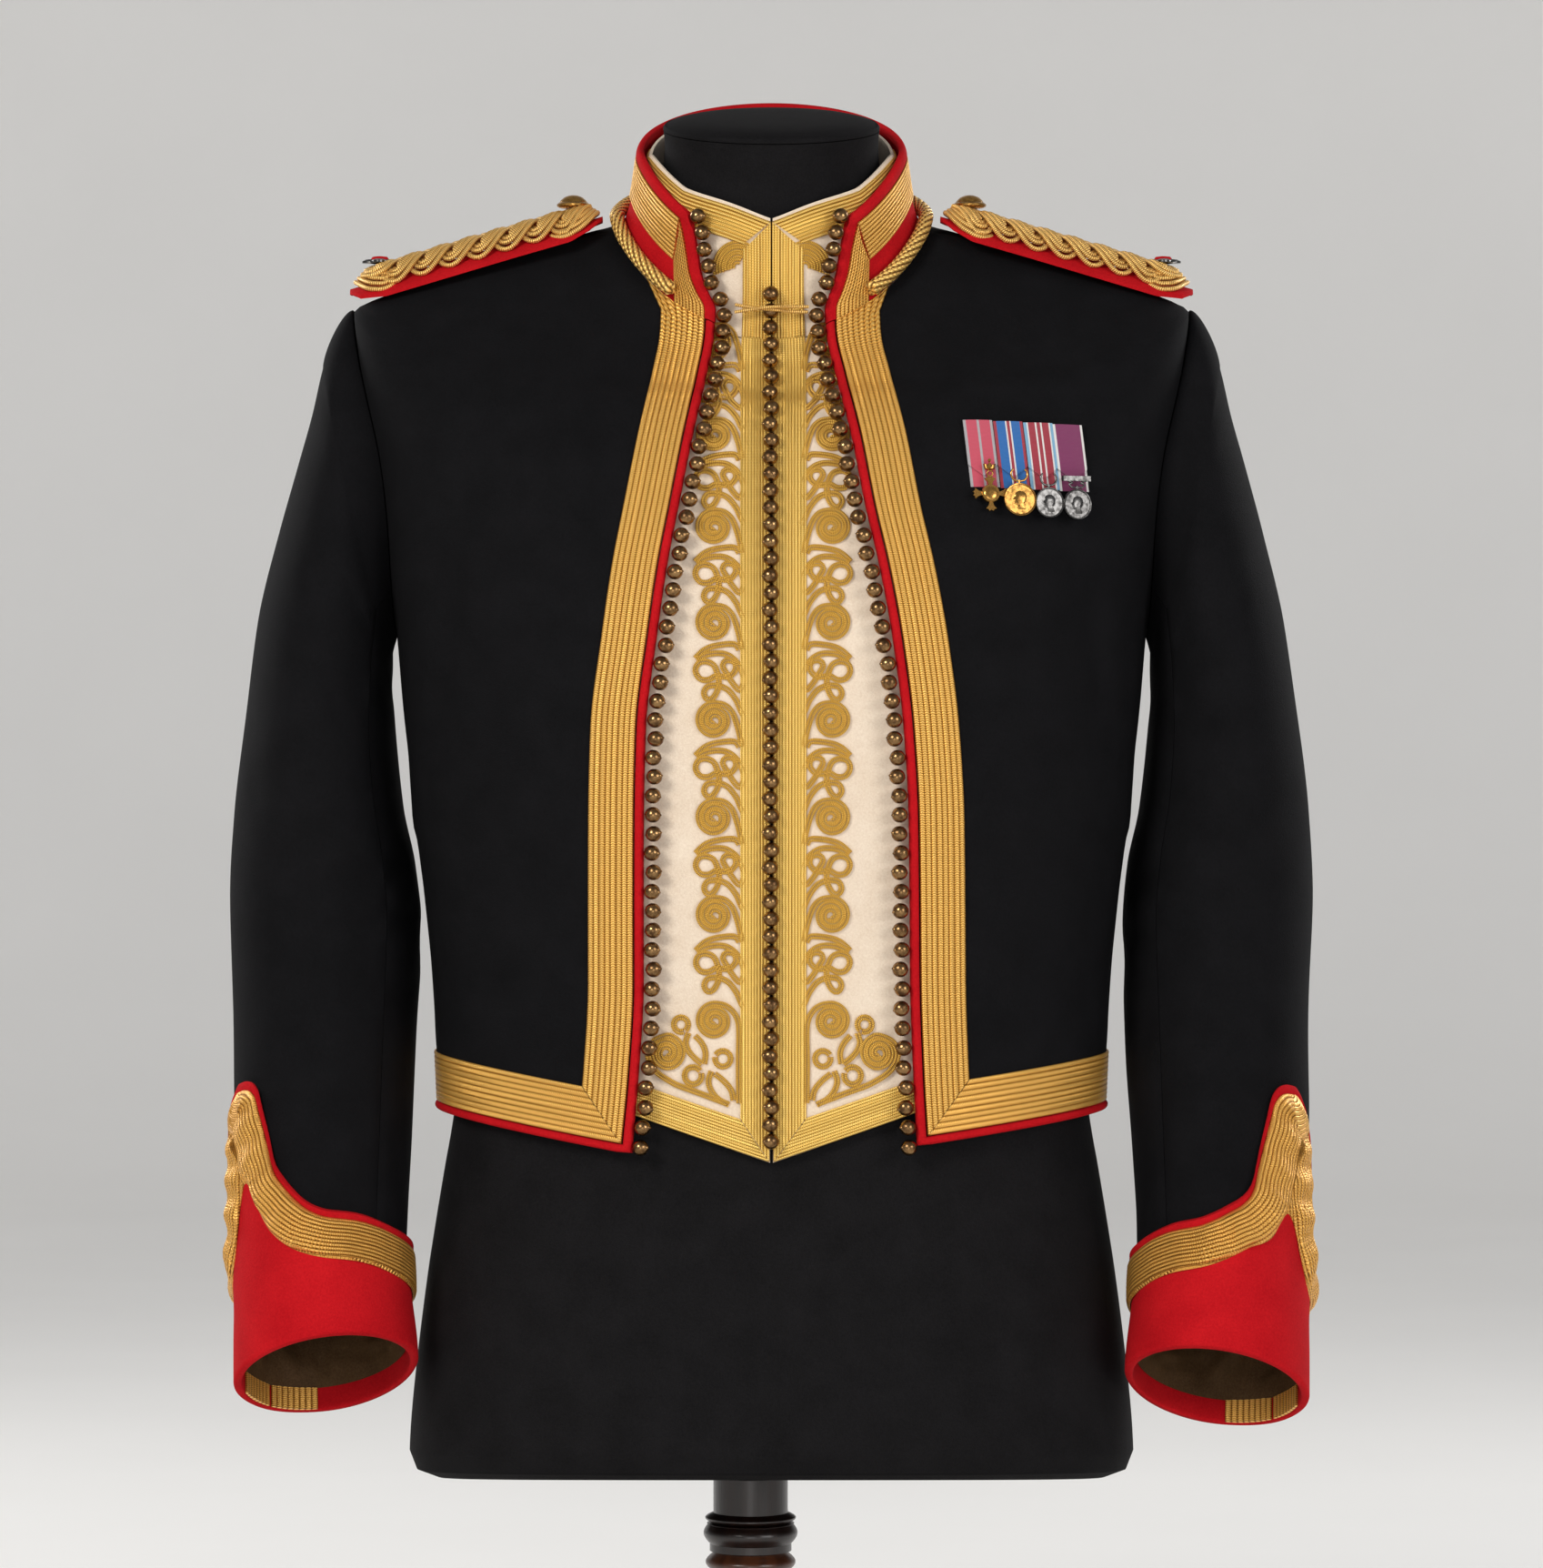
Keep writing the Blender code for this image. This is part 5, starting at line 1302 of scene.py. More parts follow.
def spiral(turns=2.6, start=1.3, end=9.2):
    """A flat spiral that grows clockwise and ends at its top."""
    t = np.linspace(0, 1, int(18 * turns))
    w = HALF_PI + 2 * math.pi * turns * (1 - t)
    r = start + (end - start) * t
    return np.stack([r * np.cos(w), r * np.sin(w)], 1)


def stroke(made, points, centre, side, lift=0.0, mark=0):
    """Two cords side by side along a line on the waistcoat."""
    line = spline(points, 1.35) / 1000
    ahead = unit(np.gradient(line, axis=0))
    square = np.stack([-ahead[:, 1], ahead[:, 0]], 1)
    for share in (-1, 1):
        p = line + share * 1.06 * THREAD * square
        x = side * (centre[0] - p[:, 0])
        z = centre[1] + p[:, 1]
        a, v = spot(x, z)
        n = face_normal(a, v)
        path = skin(a, v) + n * (WAISTCOAT + 0.0006 + lift)
        made.tube(rope_rings(path, THREAD, 6, n), mark=mark)


def motif(made, x, z, side):
    """One repeat: a spiral with its tail, a pair of leaves and the loops below them."""
    stroke(made, np.concatenate([spiral(), SPIRAL_TAIL]), (x, z), side, 0.0002)
    stroke(made, UPPER_LEAF, (x, z), side)
    stroke(made, LOWER_LEAF, (x, z), side)


def loop(x, z, r, turn):
    """An open ring of braid that begins and ends at the given turn."""
    w = np.radians(turn + np.linspace(8, 352, 15))
    return np.stack([x + r * np.cos(w), z + r * np.sin(w)], 1)


def corner(made, x, z, side):
    """The pattern that fills the corner at the foot of the braid."""
    stroke(made, np.concatenate([spiral(), CORNER_TAIL]), (x, z), side, 0.0002)
    curl = spiral() * (-1, 1)
    stroke(made, np.concatenate([curl, CORNER_SWEEP]) + (-25.5, -17.0), (x, z), side, 0.0002)
    for leaf in CORNER_LEAVES:
        stroke(made, leaf, (x, z), side)
    for ring in ((-18.0, -2.0, 3.9, -60), (4.5, -20.0, 4.2, 160), (-11.5, -29.0, 4.6, 25)):
        stroke(made, loop(*ring), (x, z), side)


def waistcoat_braid(word, side):
    made = Build()
    for k in range(7):
        motif(made, BRAID_X[side], BRAID_TOP - BRAID_STEP * k, side)
    corner(made, BRAID_X[side], BRAID_TOP - BRAID_STEP * 7 - 0.0044, side)
    return made.object(f"braid_{word}", [BRAID], [f"waistcoat_braid_{word}"])


# --- ball buttons ------------------------------------------------------------------
def ball_row(name, nodes, xs, zs, out, tip):
    """Ball buttons with a small point on one side; tip is the way the points look."""
    made = Build()
    centres = front(xs, zs, out)
    angles = np.linspace(0, math.pi, 11)
    profile = [(-BALL * math.cos(w), BALL * math.sin(w)) for w in angles[:-1]]
    profile += [(BALL * 0.93, BALL * 0.36), (BALL * 1.02, BALL * 0.17), (BALL * 1.17, BALL * 0.10)]
    profile[0] = (-BALL * 1.10, BALL * 0.16)
    around = np.linspace(0, 2 * math.pi, 14, endpoint=False)
    for k, centre in enumerate(centres):
        wobble = 0.16 * math.sin(2.4 * k) + 0.1 * math.sin(5.1 * k)
        axis = unit(np.array([tip, -0.55, wobble]))
        one = unit(np.cross(axis, (0.0, 0.0, 1.0)))
        two = np.cross(axis, one)
        turn = np.cos(around)[:, None] * one + np.sin(around)[:, None] * two
        rings = [centre + axis * h + r * turn for h, r in profile]
        made.tube(rings)
    return made.object(name, [BRASS], nodes)


def side_balls(word, side):
    t = np.linspace(0, 1, 52)
    z = 0.9265 - 0.4990 * (0.91 * t + 0.09 * t * t)
    x = edge_x(z, side) - 0.0101 + 0.0005 * np.sin(3.7 * np.arange(52))
    return ball_row(f"balls_{word}", [f"button_row_{word}"], x * side, z, 0.0012, -side)


def centre_balls():
    z = np.linspace(0.8841, 0.4310, 51)
    x = -0.0004 + 0.0004 * np.sin(2.9 * np.arange(51))
    return ball_row("balls_centre", ["button_row_centre"], x, z, -0.0006, -1)


def throat_cords():
    """Two thin cords from one row of balls to the other, just crossing."""
    made = []
    for k, (z0, z1, sag) in enumerate(((0.8785, 0.8745, 0.0012), (0.8742, 0.8772, -0.0010))):
        t = np.linspace(0, 1, 40)
        x = -0.0195 + 0.0390 * t
        z = z0 + (z1 - z0) * t - sag * np.sin(math.pi * t)
        a, v = spot(x, z)
        n = face_normal(a, v)
        over = 0.0048 * np.exp(-(x / 0.0065) ** 4)
        path = skin(a, v) + n * (0.0004 + 0.0018 * k + over)[:, None]
        tube = Build()
        tube.tube(rope_rings(path, 0.0009, 8, n))
        nodes = ["throat_cord"] if k == 0 else []
        piece = tube.object(f"throat_cord_{'upper' if k == 0 else 'lower'}", [CORD], nodes)
        made.append(piece)
    return made


# --- shoulder cords ----------------------------------------------------------------
def strap(u, w, h, side):
    """A point of the shoulder strap: u along, w across in metres, h above its underside."""
    x = 0.0930 + 0.1385 * u
    z = 0.9290 - 0.0400 * u + h - np.where(w < 0, 16.0, -2.0) * w * w
    return np.stack(np.broadcast_arrays(x * side, 0.004 + w, z), -1)


STRAP_U = (0.0, 0.02, 0.05, 0.12, 0.35, 0.6, 0.85, 0.95, 0.98, 1.0)
STRAP_HALF = (0.006, 0.013, 0.019, 0.024, 0.024, 0.0245, 0.025, 0.021, 0.015, 0.008)
STRAP_LONG = 0.1442
GIMP = 0.00132               # radius of one cord of the plait


def shoulder_backing(word, side):
    u = np.linspace(0, 1, 80)[:, None]
    half = np.interp(u, STRAP_U, STRAP_HALF)
    t = np.linspace(-1, 1, 33)[None, :]
    w = half * t
    edge = np.sqrt(np.clip(1 - np.abs(t) ** 6, 0, 1))
    outer = strap(u, w, 0.0012 + 0.0020 * edge, side)
    inner = strap(u, w, 0.0012 - 0.0012 * edge, side)
    made = Build()
    made.shell(outer, inner, lengths(outer, 1), lengths(outer, 0))
    return made.object(f"strap_cloth_{word}", [SCARLET], [f"shoulder_backing_{word}"])


def shoulder_plait(word, side):
    """Three strands of four cords plaited over a rounded strap, with looped ends."""
    made = Build()
    up = np.array([0.27 * side, 0.0, 1.0])
    t = np.linspace(0.07, 0.93, 96)
    ends = (0.07, 0.14, 0.86, 0.93)
    for strand in range(3):
        phase = 2 * math.pi * (t * STRAP_LONG / 0.048 + strand / 3)
        reach = np.interp(t, ends, (0.006, 0.0160, 0.0160, 0.007))
        middle = np.stack([t * STRAP_LONG, reach * np.sin(phase)], 1)
        ahead = unit(np.gradient(middle, axis=0))
        square = np.stack([-ahead[:, 1], ahead[:, 0]], 1)
        weave = 0.0021 * np.sin(2 * phase) * np.interp(t, ends, (0.3, 1, 1, 0.3))
        for cord in range(4):
            shift = (cord - 1.5) * 2.06 * GIMP
            p = middle + square * shift
            round_top = 0.0092 * np.sqrt(np.clip(1 - 0.9 * (p[:, 1] / 0.0205) ** 2, 0.02, 1))
            high = 0.0022 + round_top + weave - 0.0003 * (cord - 1.5) ** 2
            path = strap(p[:, 0] / STRAP_LONG, p[:, 1], high, side)
            made.tube(rope_rings(path, GIMP, 7, up))
    for u0, way in ((0.125, -1), (0.875, 1)):
        for cord in range(4):
            r = 0.0212 - 2.06 * GIMP * cord
            w = np.linspace(-2.35, 2.35, 56)
            u = u0 + way * r * 0.72 * np.cos(w) / STRAP_LONG
            tuck = 0.0026 * np.clip((np.abs(w) - 1.4) / 0.8, 0, 1)
            high = 0.0062 + 0.0016 * cord - 0.002 * np.abs(np.sin(w)) ** 3 - tuck
            path = strap(u, r * np.sin(w), high, side)
            made.tube(rope_rings(path, GIMP, 8, up))
    return made.object(f"plait_{word}", [CORD], [f"shoulder_plait_{word}"])


def shoulder_button(word, side):
    base = strap(0.116, 0.0, 0.0128, side)
    around = np.linspace(0, 2 * math.pi, 32, endpoint=False)
    profile = ((0.0078, 0.0), (0.0090, 0.0006), (0.0092, 0.0016), (0.0082, 0.0026), (0.0078, 0.0026),
               (0.0070, 0.0040), (0.0052, 0.0056), (0.0028, 0.0066), (0.0008, 0.0069))
    rings = [base + np.stack([r * np.cos(around), r * np.sin(around), np.full(around.shape, h)], 1)
             for r, h in profile]
    made = Build()
    made.tube(rings)
    return made.object(f"strap_button_{word}", [GILT], [f"shoulder_button_{word}"])


def shoulder_star(word, side):
    """A small four-pointed star of silver wire over scarlet."""
    made = Build()
    base = strap(0.885, 0.0, 0.0130, side)
    around = np.linspace(0, 2 * math.pi, 48, endpoint=False)
    for size, high, mark in ((0.0098, 0.0022, 0), (0.0052, 0.0038, 1)):
        star = size * (0.62 + 0.38 * np.abs(np.cos(2 * around)) ** 1.6) if mark == 0 else size
        rings = []
        for grow, h in ((1.0, 0.0), (1.0, 0.5), (0.8, 0.9), (0.3, 1.0)):
            rings.append(base + np.stack([grow * star * np.cos(around), grow * star * np.sin(around),
                                          np.full(around.shape, h * high)], 1))
        made.tube(rings, mark=mark)
    return made.object(f"strap_star_{word}", [SILVER, SCARLET], [f"shoulder_star_{word}"])


# --- miniature medals --------------------------------------------------------------
RIBBON_TOP = 0.8120
# left edge of the ribbon at its top, the stripes as (share of the width, colour), disc x, disc z
ROSE, PALE_GREY = (0.60, 0.060, 0.110, 1), (0.42, 0.40, 0.42, 1)
BLUE, CRIMSON, WHITE = (0.0, 0.130, 0.440, 1), (0.36, 0.012, 0.035, 1), (0.78, 0.76, 0.74, 1)
SKY, PURPLE = (0.20, 0.42, 0.62, 1), (0.20, 0.010, 0.095, 1)
MEDALS = (
    (0.1015, ((0.0, PALE_GREY), (0.09, ROSE), (0.46, PALE_GREY), (0.54, ROSE), (0.91, PALE_GREY)),
     0.1150, 0.7725),
    (0.1175, ((0.0, CRIMSON), (0.10, BLUE), (0.40, WHITE), (0.45, CRIMSON), (0.55, WHITE), (0.60, BLUE),
              (0.90, CRIMSON)),
     0.1300, 0.7695),
    (0.1335, ((0.0, SKY), (0.10, WHITE), (0.15, CRIMSON), (0.38, WHITE), (0.44, CRIMSON), (0.56, WHITE),
              (0.62, CRIMSON),
              (0.85, WHITE), (0.90, SKY)), 0.1455, 0.7685),
    (0.1490, ((0.0, WHITE), (0.08, PURPLE), (0.92, WHITE)), 0.1595, 0.7680),
)
RIBBON_WIDE = 0.0155


def ribbon_material(k, stripes):
    made, tree, shader = material(f"ribbon_{k + 1}", 0.55, sheen=0.3)
    parts = node(tree, "ShaderNodeSeparateXYZ", {"Vector": place_of(tree, "UV")}).outputs
    ramp = node(tree, "ShaderNodeValToRGB", {"Fac": calc(tree, "DIVIDE", parts[0], RIBBON_WIDE)})
    ramp.color_ramp.interpolation = "CONSTANT"
    while len(ramp.color_ramp.elements) < len(stripes):
        ramp.color_ramp.elements.new(0.5)
    for element, (share, colour) in zip(ramp.color_ramp.elements, stripes):
        element.position = share
        element.color = colour
    tree.links.new(ramp.outputs[0], shader.inputs["Base Color"])
    rib = calc(tree, "SINE", calc(tree, "MULTIPLY", parts[1], 2 * math.pi / 0.0006))
    bump(tree, shader, rib, 0.00008)
    return made


def ribbons():
    """Four ribbons side by side on one bar, each folded to a point under its ring."""
    made = Build()
    looks = []
    for k, (left, stripes, _, _) in enumerate(MEDALS):
        looks.append(ribbon_material(k, stripes))
        s = np.linspace(0, 1, 21)
        for ply, (low_side, low_mid, out) in enumerate(((0.0235, 0.0295, 0.0031), (0.0350, 0.0350, 0.0017))):
            drop = low_side + (low_mid - low_side) * (1 - np.abs(2 * s - 1))
            t = np.linspace(0, 1, 26)[:, None]
            down = t * drop[None, :]
            x = left + RIBBON_WIDE * s[None, :] + 0.10 * down + 0.0004 * ply
            z = RIBBON_TOP - 0.0005 * k - down
            wave = 0.0003 * np.sin(math.pi * s)[None, :]
            outer = front(x, z, out + wave + 0 * down)
            inner = front(x, z, out - 0.0006 + wave + 0 * down)
            made.shell(outer, inner, np.tile(RIBBON_WIDE * s, (26, 1)), down, mark=k)
    return made.object("ribbons", looks, ["medal_ribbons"])


def medal_frame(x, z, lift):
    """A medal's middle, and its right, up and outward ways."""
    base = front(x, z, lift)
    n = unit(front(x, z, lift + 0.001) - base)
    up = unit(np.array([0, 0, 1.0]) - n * n[2])
    return base, np.cross(up, n), up, n


def relief(made, place, outline, low, high, soft=0.85, mark=0):
    """A raised flat shape on a disc, from an outline round a middle."""
    base, right, up, n = place
    outline = np.asarray(outline, float)
    mid = outline.mean(0)
    rings = []
    for grow, h in ((1.0, low), (1.0, (low + high) / 2), (soft, high), (0.3, high)):
        p = mid + (outline - mid) * grow
        rings.append(base + p[:, :1] * right + p[:, 1:] * up + h * n)
    made.tube(rings, mark=mark)


def circle(r, count=36, x=0.0, y=0.0):
    w = np.linspace(0, 2 * math.pi, count, endpoint=False)
    return np.stack([x + r * np.cos(w), y + r * np.sin(w)], 1)


# a plain head seen from the side, facing left, in shares of the disc's radius
HEAD = ((-0.02, 0.52), (-0.22, 0.46), (-0.32, 0.30), (-0.33, 0.18), (-0.45, 0.02), (-0.37, -0.02),
        (-0.39, -0.10), (-0.35, -0.16), (-0.36, -0.26), (-0.24, -0.34), (-0.14, -0.36),
        (-0.16, -0.58), (0.30, -0.60), (0.22, -0.30), (0.34, -0.10), (0.40, 0.14), (0.34, 0.36),
        (0.18, 0.49))


def disc(made, place, r):
    """A round medal with a rim and a plain head in low relief."""
    base, right, up, n = place
    w = np.linspace(0, 2 * math.pi, 48, endpoint=False)
    rings = []
    for grow, h in ((0.97, 0.0), (1.0, 0.0003), (1.0, 0.0014), (0.97, 0.0017), (0.91, 0.0016),
                    (0.88, 0.0011), (0.05, 0.0011)):
        rings.append(base + grow * r * (np.cos(w)[:, None] * right + np.sin(w)[:, None] * up) + h * n)
    made.tube(rings)
    head = spline(list(HEAD) + [HEAD[0]], 0.08)[:-1] * r
    relief(made, place, head, 0.0009, 0.0017, 0.8)


def wire(made, place, points, r, lift=0.0008):
    """A round bar bent through points on a medal's face."""
    base, right, up, n = place
    p = spline(np.asarray(points) / 1000, 0.0006)
    path = base + p[:, :1] * right + p[:, 1:] * up + lift * n
    made.tube(rope_rings(path, r, 8, np.broadcast_to(n, path.shape)))


def medal_cross(x, z):
    """The first medal: a cross of forked arms under a small crown-like piece."""
    made = Build()
    place = medal_frame(x, z, 0.0052)
    arm_shape = ((-0.8, 3.6), (-1.6, 6.4), (-3.2, 8.4), (-1.9, 8.6), (-1.1, 9.8), (0.0, 8.9), (1.1, 9.8),
                 (1.9, 8.6),
                 (3.2, 8.4), (1.6, 6.4), (0.8, 3.6))
    for k in range(4):
        c, s = math.cos(k * HALF_PI), math.sin(k * HALF_PI)
        turned = [((c * px - s * py) / 1000, (s * px + c * py) / 1000) for px, py in arm_shape]
        relief(made, place, turned, 0.0, 0.0011, 0.9)
    relief(made, place, circle(0.0050), 0.0, 0.0014, 0.94)
    relief(made, place, circle(0.0036), 0.0010, 0.0019, 0.8)
    w = np.linspace(0, 2 * math.pi, 25)
    wire(made, place, [(1.5 * math.cos(t), 11.1 + 1.5 * math.sin(t)) for t in w], 0.0004)
    relief(made, place, np.array(((-2.6, 13.0), (2.6, 13.0), (3.4, 16.2), (1.6, 15.2), (0.0, 17.4),
                                  (-1.6, 15.2), (-3.4, 16.2)))
           / 1000, 0.0, 0.0014, 0.8)
    relief(made, place, circle(0.0009, 12, 0.0, 0.0181), 0.0002, 0.0014)
    return made.object("medal_cross", [GILT], ["medal_1"])


def medal_disc(k, x, z, r, look, lift):
    made = Build()
    place = medal_frame(x, z, lift)
    disc(made, place, r)
    top = 1000 * r
    wire(made, place, [(0, top - 0.4), (0, top + 1.6)], 0.0007)
    if k < 3:
        for way in (-1, 1):
            wire(made, place, [(0, top + 1.0), (way * 2.6, top + 1.5), (way * 4.2, top + 3.4),
                               (way * 4.4, top + 5.8),
                               (way * 3.2, top + 7.4)], 0.00055)
    else:
        for way in (-1, 1):
            wire(made, place, [(0, top + 0.8), (way * 3.0, top + 0.9), (way * 4.6, top + 2.6),
                               (way * 2.4, top + 3.2),
                               (way * 5.4, top + 4.4)], 0.0005)
        bar = np.array(((-8.6, top + 4.2), (8.6, top + 4.2), (8.6, top + 7.0), (-8.6, top + 7.0))) / 1000
        relief(made, place, bar, 0.0, 0.0015, 0.94)
    return made.object(f"medal_disc_{k + 1}", [look], [f"medal_{k + 1}"])


def medals():
    made = [ribbons(), medal_cross(MEDALS[0][2], MEDALS[0][3])]
    for k, r, look, slot_name, lift in ((1, 0.0089, GILT, "gilt_metal", 0.0062),
                                        (2, 0.0082, SILVER, "silver_metal", 0.0052),
                                        (3, 0.0082, SILVER, "silver_metal", 0.0064)):
        made.append(medal_disc(k, MEDALS[k][2], MEDALS[k][3], r, look, lift))
    return made


# --- dress form and stand ----------------------------------------------------------
# height, half width, front depth, back depth
FORM_LOW = (
    (0.2400, 0.1830, 0.1040, 0.1120),
    (0.2445, 0.1945, 0.1145, 0.1235),
    (0.2550, 0.1985, 0.1185, 0.1275),
    (0.3000, 0.1950, 0.1150, 0.1240),
    (0.3600, 0.1875, 0.1100, 0.1150),
    (0.4150, 0.1785, 0.1045, 0.0985),
)
# side height and depth under the jacket's face
FORM_HIGH = ((0.455, 0.0108), (0.500, 0.0135), (0.560, 0.0145), (0.620, 0.0145), (0.680, 0.0145),
             (0.740, 0.0145), (0.785, 0.0145), (0.820, 0.0145), (0.846, 0.0180), (0.890, 0.0240),
             (0.902, 0.0190), (0.924, 0.0170))
TILT = math.radians(16)


def neck_ring(angles, half, along, deep_front, deep_back):
    """A ring of the form's neck, square to its forward lean."""
    s, c = np.sin(angles), np.cos(angles)
    q = -np.where(c > 0, deep_front, deep_back) * c
    y = -0.004 - along * math.sin(TILT) + q * math.cos(TILT)
    z = 0.9500 + along * math.cos(TILT) + q * math.sin(TILT)
    return np.stack([half * s, y, z], -1)


def form_body():
    angles = np.linspace(0, 2 * math.pi, 96, endpoint=False)
    rings = []
    for z, half, fore, back in FORM_LOW:
        s, c = np.sin(angles), np.cos(angles)
        x = half * np.sign(s) * np.abs(s) ** (2 / 2.4)
        y = -np.where(c > 0, fore, back) * np.sign(c) * np.abs(c) ** (2 / 2.4)
        rise = 0.0105 * np.maximum(c, 0) * np.clip(1 - (z - 0.24) / 0.12, 0, 1)
        rings.append(np.stack([x, y, z + rise], -1))
    for row, deep in FORM_HIGH:
        rings.append(off(angles, np.full(angles.shape, row), -deep))
    rings.append(neck_ring(angles, 0.0605, 0.0, 0.0500, 0.0560))
    rings.append(neck_ring(angles, 0.0592, 0.0290, 0.0490, 0.0550))
    rings = np.array(rings)
    fine = []
    for k in range(len(rings) - 1):
        before, after = rings[max(k - 1, 0)], rings[min(k + 2, len(rings) - 1)]
        for t in np.linspace(0, 1, 6, endpoint=False):
            line = rings[k] + (rings[k + 1] - rings[k]) * t
            bend = (rings[k] - before - (after - rings[k + 1])) * t * (1 - t) * 0.25
            fine.append(line + (bend if k > 1 else 0.0))
    fine.append(rings[-1])
    made = Build()
    made.tube(fine)
    return made.object("form_torso", [COTTON], ["form_body"])


def form_cap():
    """The stuffed cap that closes the form's neck, with its seam round the edge."""
    angles = np.linspace(0, 2 * math.pi, 96, endpoint=False)
    profile = ((0.0592, 0.0295, 0.0490, 0.0550), (0.0594, 0.0307, 0.0492, 0.0552),
               (0.0584, 0.0320, 0.0482, 0.0542), (0.0578, 0.0318, 0.0476, 0.0536),
               (0.0560, 0.0329, 0.0460, 0.0520), (0.0500, 0.0344, 0.0408, 0.0462),
               (0.0400, 0.0354, 0.0325, 0.0370), (0.0250, 0.0359, 0.0200, 0.0230),
               (0.0060, 0.0361, 0.0050, 0.0056))
    made = Build()
    made.tube([neck_ring(angles, *row) for row in profile])
    return made.object("form_cap", [COTTON], ["form_neck_cap"])


def turned(name, slot_name, look, node_name, profile):
    """A turned wooden part from radii and heights."""
    around = np.linspace(0, 2 * math.pi, 72, endpoint=False)
    rings = [np.stack([POST + r * np.cos(around), r * np.sin(around), np.full(around.shape, z)], 1)
             for r, z in profile]
    made = Build()
    made.tube(rings)
    return made.object(name, [look], [node_name], sharp=35)


def bead(low, high, r, bulge, count=8):
    """The half-round profile of a turned bead."""
    return [(r + bulge * math.sin(math.pi * t), high + (low - high) * t) for t in np.linspace(0, 1, count)]


def stand():
    neck = [(0.0205, 0.2395), (0.0205, 0.2200)] + bead(0.2145, 0.2195, 0.0215, 0.0035) + [(0.0240, 0.2140)]
    neck += bead(0.2040, 0.2135, 0.0235, 0.0024) + [(0.0225, 0.2030), (0.0225, 0.1990)]
    post = [(0.0205, 0.1985)] + bead(0.1880, 0.1975, 0.0210, 0.0038) + [(0.0198, 0.1860), (0.0200, 0.1500)]
    post += bead(0.1420, 0.1490, 0.0205, 0.0026)
    post += [(0.0215, 0.1300), (0.0235, 0.1050), (0.0250, 0.0800), (0.0235, 0.0640)]
    post += bead(0.0520, 0.0590, 0.0212, 0.0030) + [(0.0245, 0.0480), (0.0290, 0.0420), (0.0330, 0.0345)]
    base = [(0.0400, 0.0340), (0.0700, 0.0300), (0.1300, 0.0230), (0.1660, 0.0185)]
    base += bead(0.0125, 0.0180, 0.1745, 0.0040)
    base += bead(0.0, 0.0120, 0.1775, 0.0024)
    return [turned("post_neck", "dark_wood", DARK_WOOD, "stand_neck", neck),
            turned("post_turned", "turned_wood", LIGHT_WOOD, "stand_post", post),
            turned("base_turned", "turned_wood", LIGHT_WOOD, "stand_base", base)]


# --- put it all together -----------------------------------------------------------
for word, side in SIDES:
    panel = jacket_front(word, side)
    trims = [front_band(word, side), hem_band(word, side), front_edging(word, side), side_balls(word, side)]
    if side > 0:
        trims += medals()
    jacket_back(word, side)
    top = sleeve(word, side, "top", 2)
    under = sleeve(word, side, "under", 10)
    sleeve_lining(word, side)
    cloth = cuff(word, side)
    cuff_lace(word, side)
    strap_cloth = shoulder_backing(word, side)
    strap_trims = [shoulder_plait(word, side), shoulder_button(word, side), shoulder_star(word, side)]
    front_cloth = waistcoat_front(word, side)
    waistcoat_laces(word, side) + [waistcoat_braid(word, side)]
waistcoat_back()
hem_band_back()
back_edging()
centre_balls()
jacket_collar()
collar_lace()
collar_cord()
waistcoat_collar()
waistcoat_collar_lace()
throat_cords()
form_body()
form_cap()
stand()


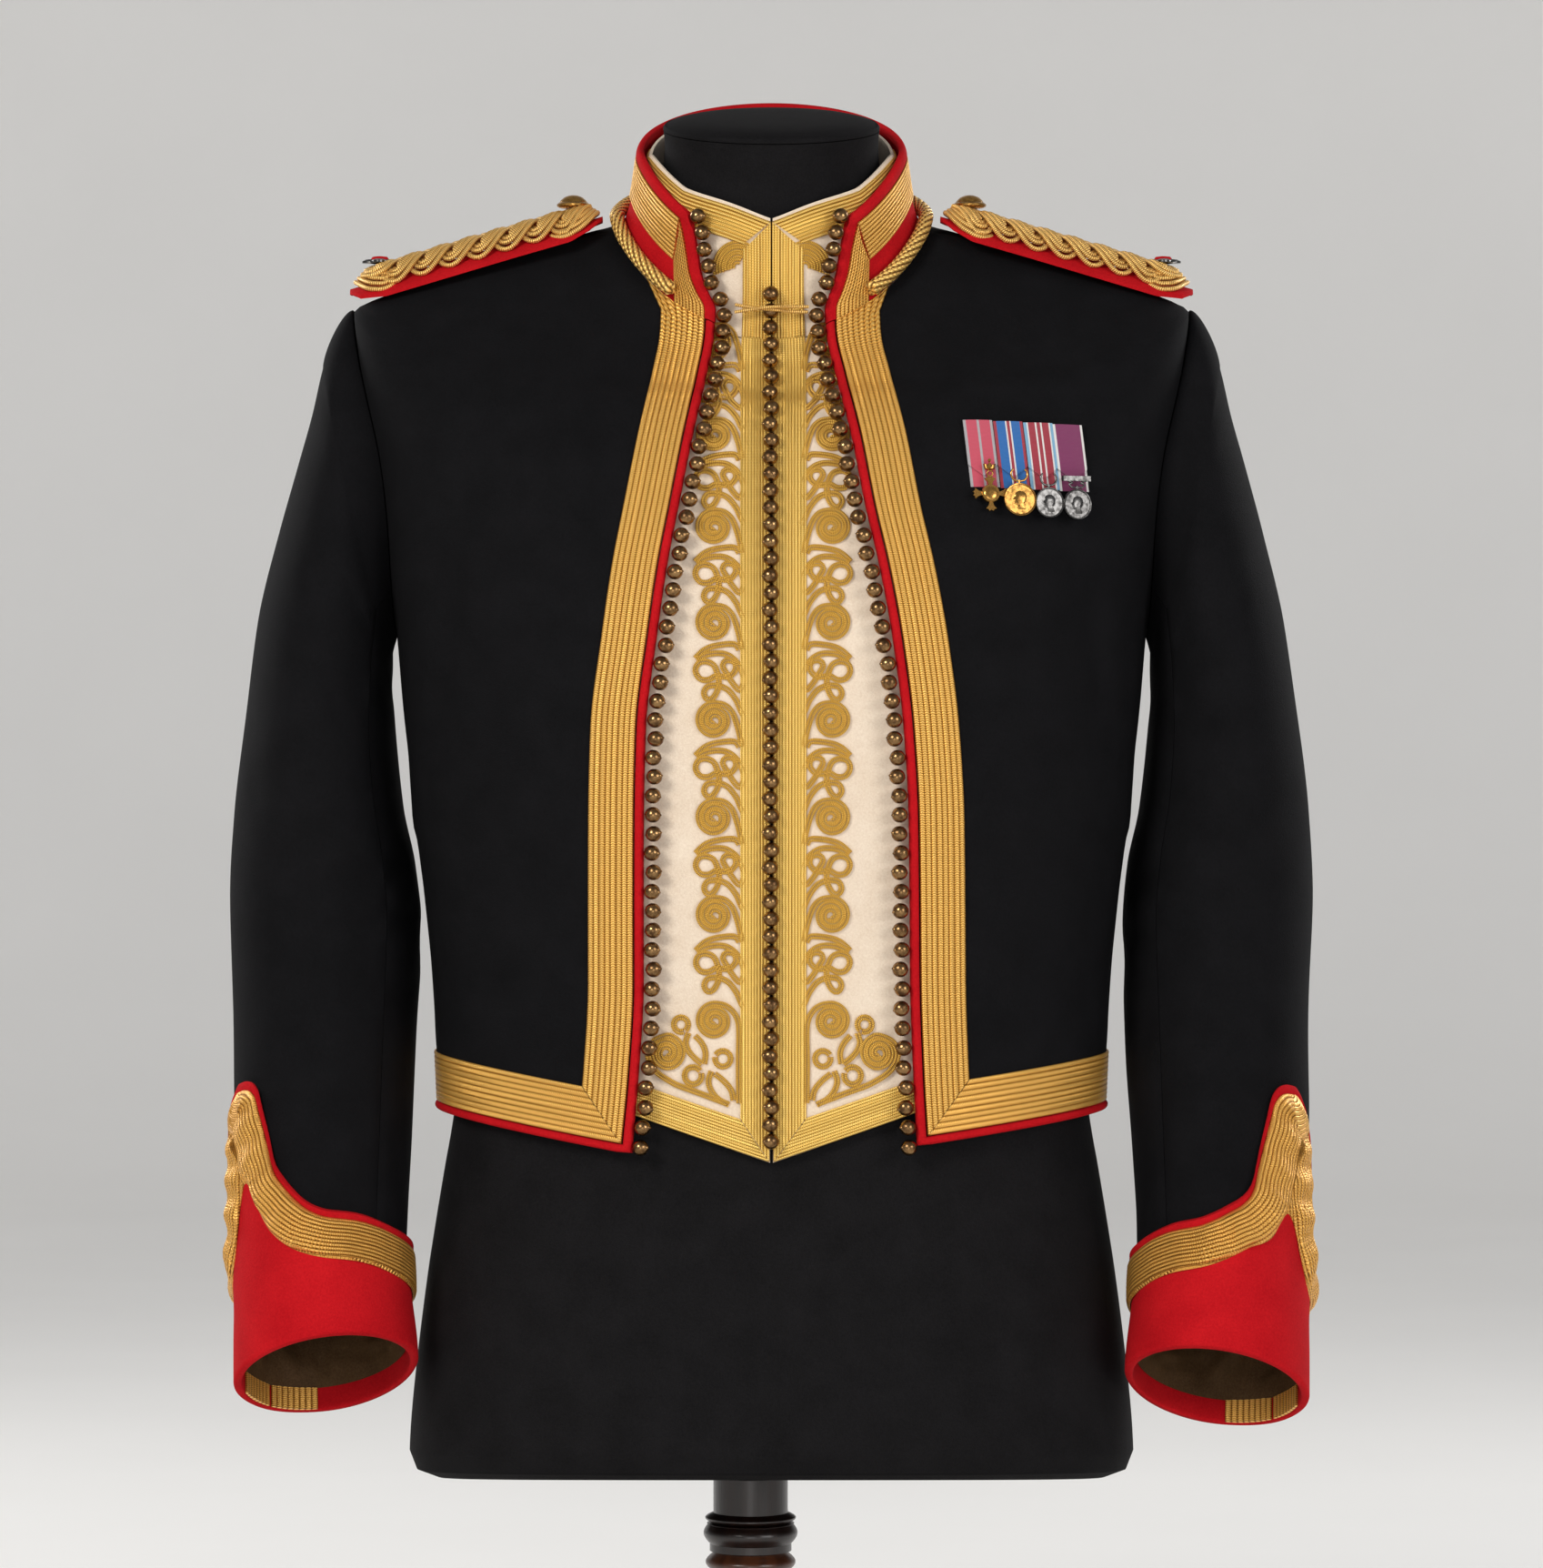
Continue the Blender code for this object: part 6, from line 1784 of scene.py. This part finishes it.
# --- floor, light and camera -------------------------------------------------------
def studio():
    """A pale floor that sweeps up to a wall far behind."""
    wide, bend = 14.0, 2.0
    line = [(-9.0, 0.0), (5.0, 0.0)]
    line += [(5.0 + bend * math.sin(w), bend - bend * math.cos(w)) for w in np.linspace(0.1, HALF_PI, 14)]
    line.append((5.0 + bend, 9.0))
    points = [(x, y, z) for y, z in line for x in (-wide, wide)]
    faces = [(2 * k, 2 * k + 1, 2 * k + 3, 2 * k + 2) for k in range(len(line) - 1)]
    mesh = bpy.data.meshes.new("studio_floor")
    mesh.from_pydata(points, [], faces)
    mesh.shade_smooth()
    made, tree, shader = material("pale_paper", 0.8)
    grain = node(tree, "ShaderNodeTexNoise",
                 {"Vector": place_of(tree, "Object"), "Scale": 3.0, "Detail": 3.0})
    tree.links.new(blend(tree, grain.outputs[0], (0.84, 0.83, 0.81, 1), (0.88, 0.87, 0.85, 1)),
                   shader.inputs["Base Color"])
    mesh.materials.append(made)
    floor = bpy.data.objects.new("studio_floor", mesh)
    HOME.objects.link(floor)


def lamp(name, place, aim, size, power, colour=(1, 1, 1)):
    """A soft square lamp aimed at a point."""
    data = bpy.data.lights.new(name, "AREA")
    data.shape = "SQUARE"
    data.size = size
    data.energy = power
    data.color = colour
    made = bpy.data.objects.new(name, data)
    HOME.objects.link(made)
    made.location = place
    way = np.array(aim) - np.array(place)
    made.rotation_euler = (math.atan2(math.hypot(way[0], way[1]), -way[2]), 0.0,
                           math.atan2(way[1], way[0]) - HALF_PI)
    made.visible_camera = False


studio()
lamp("key", (-1.7, -2.6, 2.0), (0, 0, 0.65), 1.1, 56, (1.0, 0.97, 0.92))
lamp("fill", (2.0, -2.2, 1.2), (0, 0, 0.6), 1.3, 27, (1.0, 0.98, 0.97))
lamp("rim_left", (1.9, 1.6, 1.7), (0, 0, 0.7), 0.9, 26)
lamp("rim_right", (-1.9, 1.6, 1.7), (0, 0, 0.7), 0.9, 26)
for place in (-3.4, 3.4):
    lamp("wall", (place, 2.4, 3.4), (place * 0.4, 8.0, 1.8), 2.4, 55)
lamp("low", (0.0, -2.8, 0.35), (0, 0, 0.5), 0.9, 7)
world = bpy.data.worlds.new("pale_room")
world.use_nodes = True
world.node_tree.nodes["Background"].inputs["Color"].default_value = (0.90, 0.90, 0.92, 1)
world.node_tree.nodes["Background"].inputs["Strength"].default_value = 0.30
bpy.context.scene.world = world
bpy.context.scene.view_settings.view_transform = "Standard"

lens = bpy.data.cameras.new("portrait")
lens.lens = 125.3
lens.sensor_width = 36.0
lens.clip_end = 60.0
camera = bpy.data.objects.new("portrait", lens)
HOME.objects.link(camera)
camera.location = (0.0, -3.0, 0.62)
camera.rotation_euler = (HALF_PI, 0.0, 0.0)
bpy.context.scene.camera = camera
